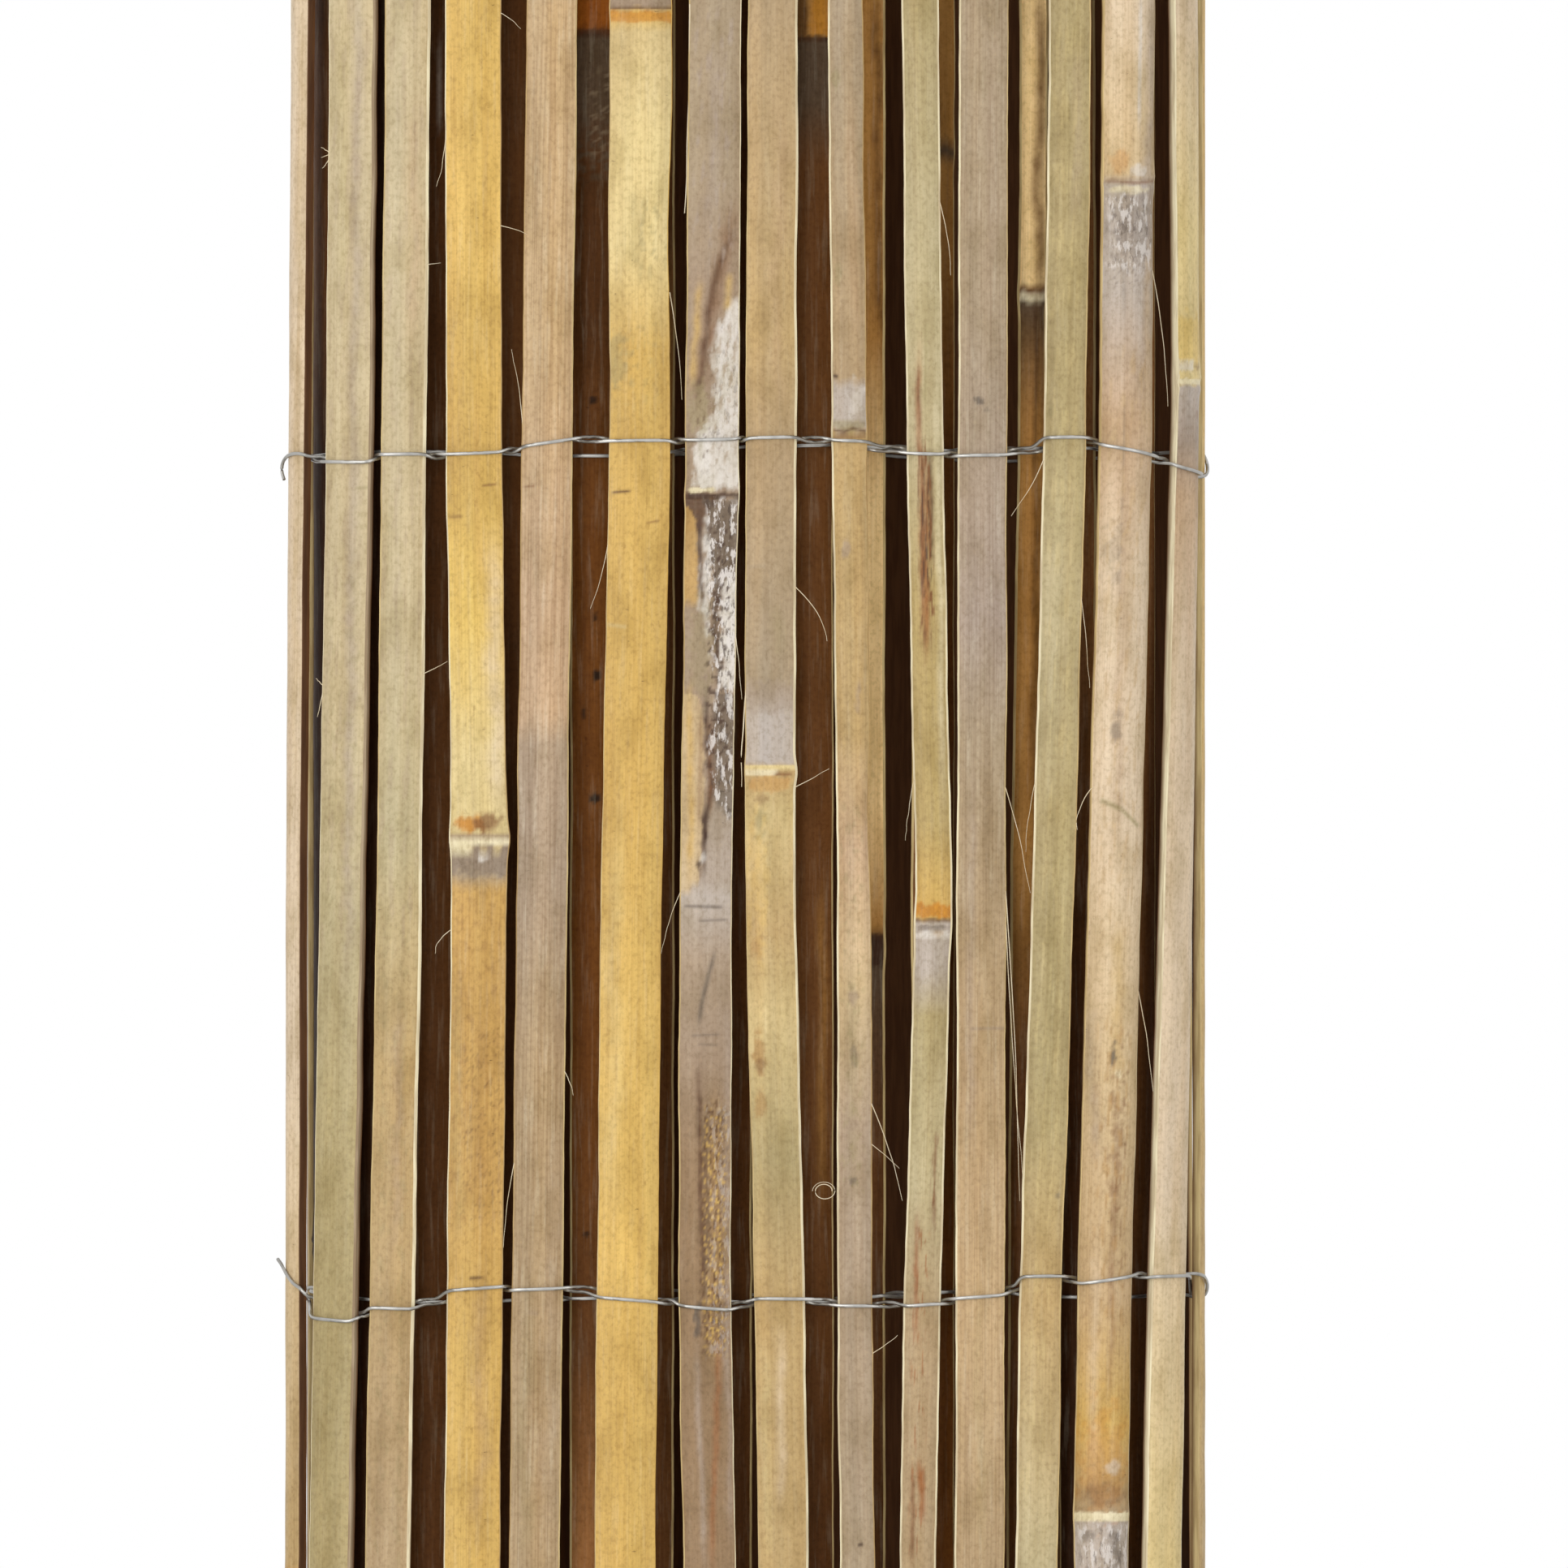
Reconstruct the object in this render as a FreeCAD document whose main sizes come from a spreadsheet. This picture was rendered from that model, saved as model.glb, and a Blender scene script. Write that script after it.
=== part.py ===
"""Split-bamboo fence panel, rolled up flat and standing on its end.

The panel is one mat of split-bamboo slats, tied by rows of twisted galvanised wire.
It is wound one and a half times round a flat core, so its plan is a flattened spiral:
straight runs at the front and back, joined by half-circle ends.
Z is up, X runs along the front, and the front faces -Y. All sizes are in millimetres.
"""
import FreeCAD
import Part
import Sketcher
import math
import os

V = FreeCAD.Vector

# Driving sizes of the whole roll, one cell each.
SIZES = {
    "roll_height": 1000.0,
    "straight_run": 121.6,
    "end_radius": 18.5,
    "layer_pitch": 5.5,
    "slat_edge": 1.4,
    "slat_crown": 2.2,
    "crown_share": 0.44,
    "culm_edge": 2.4,
    "culm_crown": 4.3,
    "culm_share": 0.5,
    "inner_thickness": 1.9,
    "node_rise": 0.45,
    "node_flare": 0.12,
    "node_band": 5.0,
    "internode": 330.0,
    "first_row": 125.0,
    "row_pitch": 150.0,
    "top_margin": 60.0,
    "wire_diameter": 0.65,
    "wire_clearance": 0.1,
    "strand_lift": 0.4,
    "wire_tail": 3.0,
    "tail_rise": 0.6,
}
UPPER_ROW = 3
LOWER_ROW = 2

# Heights where the front slats were measured, from the two wire rows that bound the view:
# above the upper row, at it, half-way, at the lower row, and below the lower row.
ABOVE_UPPER = 79.6
BELOW_LOWER = 47.6
# Beyond these distances from the measured stretch the slats stand at their mean spacing.
SETTLE = 105.0

# Where the first slat's middle lies along the mat, from the first bend, at the five heights.
FIRST_SLAT_RUN = (-20.7, -21.9, -23.0, -23.3, -23.3)

# The fourteen front slats: width, then the gap to the next slat at the five heights,
# then the heights of the nodes that show, from the upper wire row.
FRONT = [
    (5.9, (4.3, 4.8, 4.6, 3.5, 2.4), (128.0,)),
    (9.0, (1.2, 1.2, 1.7, 1.6, 2.1), (-232.0,)),
    (8.0, (2.5, 3.4, 5.2, 5.9, 5.9), (112.0,)),
    (9.9, (4.7, 3.6, 1.6, 1.6, 1.6), (-67.2,)),
    (9.0, (5.6, 6.4, 5.9, 5.9, 6.1), (-241.0,)),
    (10.8, (3.2, 2.6, 3.1, 3.7, 5.0), (78.2,)),
    (9.3, (0.9, 1.4, 2.3, 4.2, 4.0), (-7.9,)),
    (8.9, (5.4, 6.4, 7.4, 5.7, 5.5), (-56.4,)),
    (6.2, (6.9, 7.0, 7.8, 5.6, 4.3), (3.3,)),
    (6.5, (3.7, 2.6, 0.5, 2.5, 3.2), (-83.7,)),
    (8.7, (7.3, 6.4, 4.9, 2.7, 1.7), (-226.0,)),
    (7.5, (1.6, 2.1, 2.3, 2.7, 3.1), (118.0,)),
    (9.6, (3.6, 5.0, 3.6, 3.0, 2.5), (48.4, -188.3)),
    (8.7, (3.4, 3.2, 3.6, 3.9, 4.1), (13.3,)),
]
CULM_SLAT = 13

# The slats that follow, round the right end, across the back and round the left end. Their
# widths and gaps repeat from these lists.
OUTER_WIDTHS = (8.6, 9.4, 7.9, 11.1, 7.8, 9.7, 7.4)
OUTER_GAPS = (2.9, 3.3, 5.6, 3.0, 2.5)
SIDES = (("right_slat", 3), ("back_slat", 9), ("left_slat", 3))
NODE_PHASE = 0.618
GAP_DRIFT = 0.7
# Each slat past the front keeps this share of the wander of the one before it.
STRAIGHTENING = 0.62
# A bend smaller than this, in mm, gets no section of its own, and neither does one that is
# nearer to a node than this many node bands.
STRAIGHT = 0.22
NODE_ROOM = 3.0

# The slats of the inner layer, behind the front, in the same order as the front ones. Some of
# them show through the gaps.
INNER = [
    (7.8, (2.6, 2.6, 2.6, 2.6, 2.6), (190.0,)),
    (8.6, (1.5, 1.5, 1.5, 1.5, 1.5), (-160.0,)),
    (8.9, (4.0, 4.0, 4.0, 4.0, 4.0), (-290.0,)),
    (10.0, (6.2, 6.1, 6.0, 5.9, 5.8), (155.0,)),
    (8.8, (1.6, 1.5, 1.4, 1.4, 1.4), (76.8,)),
    (8.2, (5.0, 5.1, 5.2, 5.3, 5.4), (-240.0,)),
    (8.6, (6.1, 6.1, 6.2, 6.2, 6.3), (-145.0,)),
    (8.3, (1.2, 1.2, 1.3, 1.3, 1.3), (76.0,)),
    (7.9, (4.8, 4.7, 4.4, 4.5, 4.6), (-89.0,)),
    (7.6, (1.5, 1.4, 1.3, 1.2, 1.2), (53.5,)),
    (7.0, (3.2, 2.9, 1.8, 1.2, 1.0), (-270.0,)),
    (5.0, (1.9, 2.2, 3.3, 3.9, 4.1), (27.7,)),
    (6.8, (2.4, 2.4, 2.4, 2.4, 2.4), (-210.0,)),
    (8.7, (3.0, 3.0, 3.0, 3.0, 3.0), (140.0,)),
]

# Heights of the wires over the gaps between the front slats, from the row's own height.
UPPER_WAVE = (-1.4, -1.1, -1.0, 0.0, 2.0, 1.7, 2.0, 1.9, 0.3, -0.7, 0.0, 1.7, -1.7, -4.0)
LOWER_WAVE = (-0.4, -2.9, -0.6, 1.7, 1.6, -0.6, -1.1, -0.6, -1.1, -0.6, 1.7, 3.4, 4.0, 3.6)
# Past those gaps a row wanders up and down as the product of two slow waves.
WAVE_HEIGHT = 1.3
WAVE_STEPS = (0.83, 0.37)
WAVE_PHASES = (2.1, 1.0)
WIRE_SIDES = 3


def make_sheet(doc):
    """Put each driving size and each slat width in a cell of its own."""
    sheet = doc.addObject("Spreadsheet::Sheet", "sizes")
    cells = dict(SIZES)
    groups = (("front", [row[0] for row in FRONT]), ("outer", OUTER_WIDTHS),
              ("inner", [row[0] for row in INNER]))
    for group, widths in groups:
        for number, width in enumerate(widths, 1):
            cells[width_cell(group, number)] = width
    for line, (alias, value) in enumerate(cells.items(), 1):
        sheet.set("A%d" % line, alias.replace("_", " "))
        sheet.set("B%d" % line, repr(value))
        sheet.setAlias("B%d" % line, alias)
    doc.recompute()
    return sheet


def width_cell(group, number):
    """Name of the cell that holds a slat's width, such as front_width_a for the first one."""
    return "%s_width_%s" % (group, letter(number))


def letter(number):
    """Name a number by a letter, from a for 1."""
    return chr(ord("a") + number - 1)


class Roll:
    """The flattened spiral that the inner faces of the slats follow."""

    def __init__(self, sheet):
        self.run = sheet.straight_run
        self.radius = sheet.end_radius
        self.pitch = sheet.layer_pitch
        self.half = self.run / 2.0

    def place(self, along, height):
        """Placement at a length along the mat: X along the mat, Y into the roll, Z up.

        Before the first bend the mat lies on an arc outside the left end. After it come
        straight run, right end, straight run and left end, with the radius smaller by one
        pitch at each turn.
        """
        radius = self.radius
        if along < 0.0:
            start = radius + self.pitch / 2.0
            return self.bend(-self.half, self.pitch / 2.0, start, along / start, height)
        turn = 0.0
        while True:
            if along <= self.run:
                return self.straight(turn, radius, along, height)
            along -= self.run
            if along <= math.pi * radius:
                angle = turn + along / radius
                return self.bend(self.half, 0.0, radius, angle, height)
            along -= math.pi * radius
            if along <= self.run:
                return self.straight(turn + math.pi, radius, along, height)
            along -= self.run
            left = radius - self.pitch / 2.0
            if along <= math.pi * left:
                angle = turn + math.pi + along / left
                return self.bend(-self.half, self.pitch / 2.0, left, angle, height)
            along -= math.pi * left
            radius -= self.pitch
            turn += 2.0 * math.pi

    def bend(self, centre_x, centre_y, radius, angle, height):
        """Point on an end arc, where the angle is the mat's heading from +X."""
        base = V(centre_x + radius * math.sin(angle), centre_y - radius * math.cos(angle), height)
        return FreeCAD.Placement(base, FreeCAD.Rotation(V(0, 0, 1), math.degrees(angle)))

    def straight(self, heading, radius, along, height):
        """Point on the front run (heading 0) or the back run (heading pi) of a turn."""
        side = math.cos(heading)
        base = V(side * (along - self.half), -side * radius, height)
        return FreeCAD.Placement(base, FreeCAD.Rotation(V(0, 0, 1), math.degrees(heading)))


def between(pairs, z):
    """Value at height z on the broken line through (height, value) pairs, lowest first."""
    for (low, first), (high, last) in zip(pairs, pairs[1:]):
        if z <= high:
            return first + (last - first) * (z - low) / (high - low)
    return pairs[-1][1]


class Slat:
    """One slat: its name, width cell, kind of section, node heights and line up the mat."""

    def __init__(self, name, width_cell, width, kind, nodes):
        self.name = name
        self.width_cell = width_cell
        self.width = width
        self.kind = kind
        self.nodes = nodes
        self.line = []
        self.rings = []

    def lay(self, heights, runs, band):
        """Settle the heights of the sections, and the length along the mat at each.

        A level height is kept where the slat bends there and no node is close. Each node has
        three sections: below its ring, at it and above it.
        """
        top = heights[-1]
        known = [(z, run) for z, run in zip(heights, runs) if z < top] + [(top, runs[-1])]
        kept = [heights[0], top]
        for before, here, after in zip(known, known[1:], known[2:]):
            bend = here[1] - between([before, after], here[0])
            if abs(bend) > STRAIGHT and all(abs(here[0] - z) > NODE_ROOM * band for z in self.nodes):
                kept.append(here[0])
        for z in self.nodes:
            kept += [z - band, z, z + band]
        self.line = [(z, between(known, z)) for z in sorted(kept)]
        self.rings = [z in self.nodes for z, _ in self.line]

    def run_at(self, z):
        """Length along the mat at height z."""
        return between(self.line, z)


def level_heights(sheet):
    """Heights, from the foot up, at which the gaps between slats are known."""
    upper = sheet.first_row + UPPER_ROW * sheet.row_pitch
    lower = sheet.first_row + LOWER_ROW * sheet.row_pitch
    return [0.0, lower - BELOW_LOWER - SETTLE, lower - BELOW_LOWER, lower,
            (lower + upper) / 2.0, upper, upper + ABOVE_UPPER,
            upper + ABOVE_UPPER + SETTLE, sheet.roll_height]


def levels(five):
    """Spread five measured values, given from the top down, over the level heights."""
    mean = sum(five) / len(five)
    return [mean, mean] + list(reversed(five)) + [mean, mean]


def measured_slat(sheet, group, number, kind, row):
    """One slat whose width, gaps and nodes are listed by hand."""
    cell = width_cell(group, number)
    upper = sheet.first_row + UPPER_ROW * sheet.row_pitch
    nodes = node_heights(sheet, [upper + z for z in row[2]])
    return Slat("%s_slat_%02d" % (group, number), cell, sheet.get(cell), kind, nodes)


def node_heights(sheet, found):
    """Node heights on one slat: the given ones, and one internode away while there is room."""
    found = list(found)
    margin = 2.0 * sheet.node_band
    for step in (-1.0, 1.0):
        edge = min(found) if step < 0.0 else max(found)
        following = edge + step * sheet.internode
        while margin < following < sheet.roll_height - margin:
            found.append(following)
            following += step * sheet.internode
    return sorted(z for z in found if margin < z < sheet.roll_height - margin)


def list_slats(sheet):
    """All slats in order along the mat, each placed after the one before it."""
    slats = []
    gaps = []
    for number, row in enumerate(FRONT, 1):
        kind = "culm" if number == CULM_SLAT else "outer"
        slats.append(measured_slat(sheet, "front", number, kind, row))
        gaps.append(levels(row[1]))
    names = ["%s_%02d" % (side, k + 1) for side, count in SIDES for k in range(count)]
    for number, name in enumerate(names):
        cell = width_cell("outer", number % len(OUTER_WIDTHS) + 1)
        phase = (number * NODE_PHASE) % 1.0
        first = sheet.roll_height / 2.0 + (phase - 0.5) * sheet.internode
        slats.append(Slat(name, cell, sheet.get(cell), "outer", node_heights(sheet, [first])))
        lean = GAP_DRIFT * math.sin(2.0 * math.pi * phase)
        gaps.append([OUTER_GAPS[number % len(OUTER_GAPS)] - lean * (1.0 - 2.0 * z / sheet.roll_height)
                     for z in level_heights(sheet)])
    for number, row in enumerate(INNER, 1):
        slats.append(measured_slat(sheet, "inner", number, "inner", row))
        gaps.append(levels(row[1]))
    heights = level_heights(sheet)
    runs = levels(FIRST_SLAT_RUN)
    for number, slat in enumerate(slats):
        slat.lay(heights, runs, sheet.node_band)
        if number + 1 < len(slats):
            reach = (slat.width + slats[number + 1].width) / 2.0
            if number + 1 >= len(FRONT):
                mean = sum(runs) / len(runs)
                runs = [mean + STRAIGHTENING * (run - mean) for run in runs]
            runs = [run + reach + gap for run, gap in zip(runs, gaps[number])]
    return slats


def profile(kind, width, edge, crown, share):
    """Corner points of a slat's section: flat inner face, side walls and crowned outer face."""
    half = width / 2.0
    if kind == "inner":
        return [(-half, 0.0), (half, 0.0), (half, -edge), (-half, -edge)]
    top = half * share
    return [(-half, 0.0), (half, 0.0), (half, -edge), (top, -crown), (-top, -crown), (-half, -edge)]


def section_sketch(body, name, offset, slat, sheet, swollen):
    """Sketch one section of a slat, with its sizes bound to the sheet."""
    plane = [f for f in body.Origin.OriginFeatures if f.Role == "XY_Plane"][0]
    sketch = body.newObject("Sketcher::SketchObject", name)
    sketch.AttachmentSupport = [(plane, "")]
    sketch.MapMode = "FlatFace"
    sketch.AttachmentOffset = offset
    edge, crown, share = {"outer": ("slat_edge", "slat_crown", "crown_share"),
                          "culm": ("culm_edge", "culm_crown", "culm_share"),
                          "inner": ("inner_thickness", None, None)}[slat.kind]
    points = profile(slat.kind, slat.width, sheet.get(edge),
                     sheet.get(crown) if crown else 0.0, sheet.get(share) if share else 0.0)
    count = len(points)
    for k in range(count):
        ends = points[k], points[(k + 1) % count]
        sketch.addGeometry(Part.LineSegment(V(*ends[0]), V(*ends[1])), False)
    rules = [Sketcher.Constraint("Coincident", k, 2, (k + 1) % count, 1) for k in range(count)]
    rules.append(Sketcher.Constraint("Symmetric", 0, 1, 0, 2, -2))
    rules.append(Sketcher.Constraint("Symmetric", 1, 2, count - 1, 1, -2))
    rules.append(Sketcher.Constraint("PointOnObject", 0, 1, -1))
    rules.append(Sketcher.Constraint("Vertical", 1))
    if crown:
        rules.append(Sketcher.Constraint("Symmetric", 3, 1, 3, 2, -2))
    flare = " + 2 * sizes.node_flare" if swollen else ""
    rise = " + sizes.node_rise" if swollen else ""
    width = "sizes.%s%s" % (slat.width_cell, flare)
    bound = [(Sketcher.Constraint("DistanceX", 0, 1, 0, 2, slat.width), width),
             (Sketcher.Constraint("DistanceY", 1, 2, 1, 1, sheet.get(edge)),
              "sizes.%s%s" % (edge, rise))]
    if crown:
        top = slat.width * sheet.get(share)
        bound.append((Sketcher.Constraint("DistanceX", 3, 2, 3, 1, top),
                      "(%s) * sizes.%s" % (width, share)))
        bound.append((Sketcher.Constraint("DistanceY", 3, 1, 0, 2, sheet.get(crown)),
                      "sizes.%s%s" % (crown, rise)))
    first = len(rules)
    sketch.addConstraint(rules + [rule for rule, _ in bound])
    for k, (_, formula) in enumerate(bound):
        sketch.setExpression("Constraints[%d]" % (first + k), formula)
    return sketch


def make_slat(doc, sheet, roll, slat):
    """Loft a slat through its sections, which shift and turn a little with the mat."""
    body = doc.addObject("PartDesign::Body", slat.name)
    body.Label = slat.name
    place = roll.place(slat.run_at(sheet.roll_height / 2.0), 0.0)
    sketches = []
    for number, ((z, run), swollen) in enumerate(zip(slat.line, slat.rings), 1):
        offset = place.inverse() * roll.place(run, z)
        name = "%s_section_%d" % (slat.name, number)
        sketches.append(section_sketch(body, name, offset, slat, sheet, swollen))
    loft = body.newObject("PartDesign::AdditiveLoft", "%s_loft" % slat.name)
    loft.Profile = sketches[0]
    loft.Sections = sketches[1:]
    loft.Ruled = True
    body.Placement = place
    return body


def crown_height(slat, sheet, z):
    """Highest point of a slat's outer face near height z, with a node's ring if one is close."""
    crown = {"outer": sheet.slat_crown, "culm": sheet.culm_crown,
             "inner": sheet.inner_thickness}[slat.kind]
    reach = sheet.node_band + sheet.wire_diameter + sheet.strand_lift
    near = any(abs(z - node) < reach for node in slat.nodes)
    return crown + (sheet.node_rise if near else 0.0)


def row_wave(row, gap):
    """How far a wire row wanders up or down at a gap."""
    if row == UPPER_ROW and gap < len(UPPER_WAVE):
        return UPPER_WAVE[gap]
    if row == LOWER_ROW and gap < len(LOWER_WAVE):
        return LOWER_WAVE[gap]
    fast, slow = [step * gap + phase * row for step, phase in zip(WAVE_STEPS, WAVE_PHASES)]
    return WAVE_HEIGHT * math.sin(fast) * math.cos(slow)


def strand_points(sheet, roll, slats, row, strand):
    """Corner points of one strand of a wire row.

    It passes over the outer face of one slat and the inner face of the next, turn about. In
    each gap the strand that goes inwards lies above the one that comes outwards. One strand
    starts half-way round the free edge of the first slat. In every second row the other starts
    with a tail that stands out past that edge.
    """
    base = sheet.first_row + row * sheet.row_pitch
    radius = sheet.wire_diameter / 2.0
    stand_off = radius + sheet.wire_clearance
    points = []
    for number, slat in enumerate(slats):
        outside = (number + strand) % 2 == 0
        before = base + row_wave(row, max(number - 1, 0))
        after = base + row_wave(row, number)
        lift = sheet.strand_lift if outside else -sheet.strand_lift
        z_mid = (before + after) / 2.0
        run = slat.run_at(z_mid)
        level = -stand_off - crown_height(slat, sheet, z_mid) if outside else stand_off
        reach = slat.width / 2.0 + sheet.node_flare + stand_off
        for side, z in ((-1.0, before - lift), (1.0, after + lift)):
            place = roll.place(run, z)
            points.append(place.multVec(V(side * reach, level, 0.0)))
    first = slats[0]
    start = base + row_wave(row, 0)
    place = roll.place(first.run_at(start), start)
    reach = first.width / 2.0 + sheet.node_flare + stand_off
    if strand == 0:
        points.insert(0, place.multVec(V(-reach, -sheet.slat_edge / 2.0, -sheet.strand_lift)))
    elif row % 2 == 0:
        tail = V(-reach - sheet.wire_tail, stand_off, sheet.tail_rise)
        points.insert(0, place.multVec(tail))
    return points


def strand_solid(points, radius):
    """Carry a small section along straight runs with mitred corners, in flat faces.

    The section is laid square to the first run. At each corner its points slide along the run
    to the plane that halves the corner, so that every side face stays flat.
    """
    first = (points[1] - points[0]).normalize()
    across = first.cross(V(0, 0, 1)).normalize()
    upward = across.cross(first)
    ring = []
    for k in range(WIRE_SIDES):
        angle = 2.0 * math.pi * k / WIRE_SIDES + math.pi / 2.0
        corner = across * math.cos(angle) + upward * math.sin(angle)
        ring.append(points[0] + corner * radius)
    rings = [ring]
    for k in range(1, len(points)):
        run = (points[k] - points[k - 1]).normalize()
        normal = V(run)
        if k + 1 < len(points):
            normal = (run + (points[k + 1] - points[k]).normalize()).normalize()
        ring = [p + run * ((points[k] - p).dot(normal) / run.dot(normal)) for p in ring]
        rings.append(ring)
    outlines = [rings[0], rings[-1]]
    for near, far in zip(rings, rings[1:]):
        for k in range(WIRE_SIDES):
            following = (k + 1) % WIRE_SIDES
            outlines.append([near[k], near[following], far[following], far[k]])
    faces = [Part.Face(Part.makePolygon(outline + outline[:1])) for outline in outlines]
    solid = Part.Solid(Part.Shell(faces))
    if solid.Volume < 0.0:
        solid.reverse()
    return solid


def make_strand(doc, sheet, roll, slats, row, strand):
    """One strand of one wire row, as its own piece placed at the height of its row."""
    base = V(0.0, 0.0, sheet.first_row + row * sheet.row_pitch)
    points = [p - base for p in strand_points(sheet, roll, slats, row, strand)]
    name = "wire_row_%d_strand_%s" % (row + 1, letter(strand + 1))
    piece = doc.addObject("Part::Feature", name)
    piece.Label = name
    piece.Shape = strand_solid(points, sheet.wire_diameter / 2.0)
    piece.Placement = FreeCAD.Placement(base, FreeCAD.Rotation())
    return piece


def check_and_export(doc, pieces):
    """Stop on a failed object or shape, then write each piece to its own file."""
    for item in doc.Objects:
        if "Invalid" in item.State or "Error" in item.State:
            raise RuntimeError("failed object: " + item.Name)
    for piece in pieces:
        if piece.Shape.isNull() or not piece.Shape.isValid() or len(piece.Shape.Solids) != 1:
            raise RuntimeError("bad shape: " + piece.Label)
    os.makedirs("parts", exist_ok=True)
    for piece in pieces:
        piece.Shape.exportStep("parts/%s.step" % piece.Label)


def centre_on_foot(pieces):
    """Shift all pieces so that the origin is under the middle of the roll's outline."""
    box = FreeCAD.BoundBox()
    for piece in pieces:
        box.add(piece.Shape.BoundBox)
    for piece in pieces:
        piece.Placement.Base -= V(box.Center.x, box.Center.y, 0.0)


def main():
    """Build the slats and the wires, check them and write them."""
    doc = FreeCAD.newDocument("bamboo_fence_panel")
    sheet = make_sheet(doc)
    roll = Roll(sheet)
    slats = list_slats(sheet)
    pieces = [make_slat(doc, sheet, roll, slat) for slat in slats]
    rows = int((sheet.roll_height - sheet.top_margin - sheet.first_row) / sheet.row_pitch) + 1
    for row in range(rows):
        for strand in (0, 1):
            pieces.append(make_strand(doc, sheet, roll, slats, row, strand))
    doc.recompute()
    centre_on_foot(pieces)
    doc.recompute()
    check_and_export(doc, pieces)
    print("pieces", len(pieces))


main()
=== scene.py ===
"""Looks of the rolled split-bamboo fence panel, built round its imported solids.

Every slat is a grid of points: rings of one section, carried up the line of its solid.
Every wire strand and every hair is a ring of points carried along a path.
Lengths are metres, except where a name or a comment says mm. Z is up and the front faces -Y.
"""
import bpy
import math
import numpy as np
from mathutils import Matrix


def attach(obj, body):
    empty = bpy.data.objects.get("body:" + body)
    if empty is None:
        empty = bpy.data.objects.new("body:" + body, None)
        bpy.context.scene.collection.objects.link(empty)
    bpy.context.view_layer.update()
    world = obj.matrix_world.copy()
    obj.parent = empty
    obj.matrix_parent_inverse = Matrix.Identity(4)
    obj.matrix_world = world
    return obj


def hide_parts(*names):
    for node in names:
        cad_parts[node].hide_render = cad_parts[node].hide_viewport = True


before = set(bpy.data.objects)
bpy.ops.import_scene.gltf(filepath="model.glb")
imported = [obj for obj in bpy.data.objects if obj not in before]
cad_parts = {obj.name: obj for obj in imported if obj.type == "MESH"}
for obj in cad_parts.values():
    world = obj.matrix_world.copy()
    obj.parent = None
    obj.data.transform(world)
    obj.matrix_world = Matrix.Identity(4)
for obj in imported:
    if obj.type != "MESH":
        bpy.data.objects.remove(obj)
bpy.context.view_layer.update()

MM = 0.001
SEED = 41
UP = np.array([0.0, 0.0, 1.0])

# Heights that the roll is measured from, in mm: the wire rows, lowest first.
FIRST_ROW = 125.0
ROW_PITCH = 150.0
ROWS = 6
UPPER_ROW = 3
LOWER_ROW = 2
UPPER_HEIGHT = FIRST_ROW + UPPER_ROW * ROW_PITCH

# The photographed stretch, in mm above the upper row, which has the closest rings.
SHOWN_TOP = 84.0
SHOWN_FOOT = -202.0

# The photograph's frame: width that it takes in at the front faces, and its middle.
VIEW_WIDTH = 0.2773
VIEW_MIDDLE = (0.00718, -0.020, 0.5160)
LENS = 390.0
SENSOR = 36.0
AMBIENT = 0.60

# Finishes, as sRGB hex values.
TONES = {
    "pale straw": "#e3cd92", "straw": "#d6be88", "cream": "#efe3bf", "honey": "#dcb664",
    "yellow honey": "#e2c068", "gold": "#d2ac5e", "deep gold": "#c9a05a", "amber": "#c98624",
    "orange brown": "#a8692a", "green tan": "#c0b189", "pale green": "#c4b482",
    "olive tan": "#b09e70", "sand": "#cbb993", "warm sand": "#d3b98f", "tan": "#c0a26e",
    "biscuit": "#c8aa80", "pink tan": "#c7a886", "pink grey": "#b09a82", "grey tan": "#ab977b",
    "dun": "#b39974", "lead": "#a38d76", "ash": "#bdb0a4", "chalk": "#dfd8cf", "rust": "#9a5f30",
    "brass": "#b1884e", "mauve": "#ab998a", "pink cream": "#e0caac", "brown": "#825630",
    "bark": "#5f3f26", "umber": "#432a1c", "soot": "#2b1d14", "char": "#544a42", "moss": "#9a8d62",
    # Painted shade: the inner layer's tones on this line and the next are darker than the bamboo is, for
    # the shade deep inside the roll.
    "rear brown": "#704826", "rear red": "#78491f", "rear dark": "#5c391c", "rear deep": "#442a18",
    "rear grey": "#5f4c3a", "rear gold": "#bb8848", "rear tan": "#a87444", "rear orange": "#9c581c",
    # Painted light: the first tone on the next line is a gold lighter than the bamboo is, for inner strips
    # lit just behind the front slats' edges.
    "strip gold": "#ffdc9e", "olive gold": "#b69e66", "node grey": "#93816e", "old tan": "#947858",
}

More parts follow.
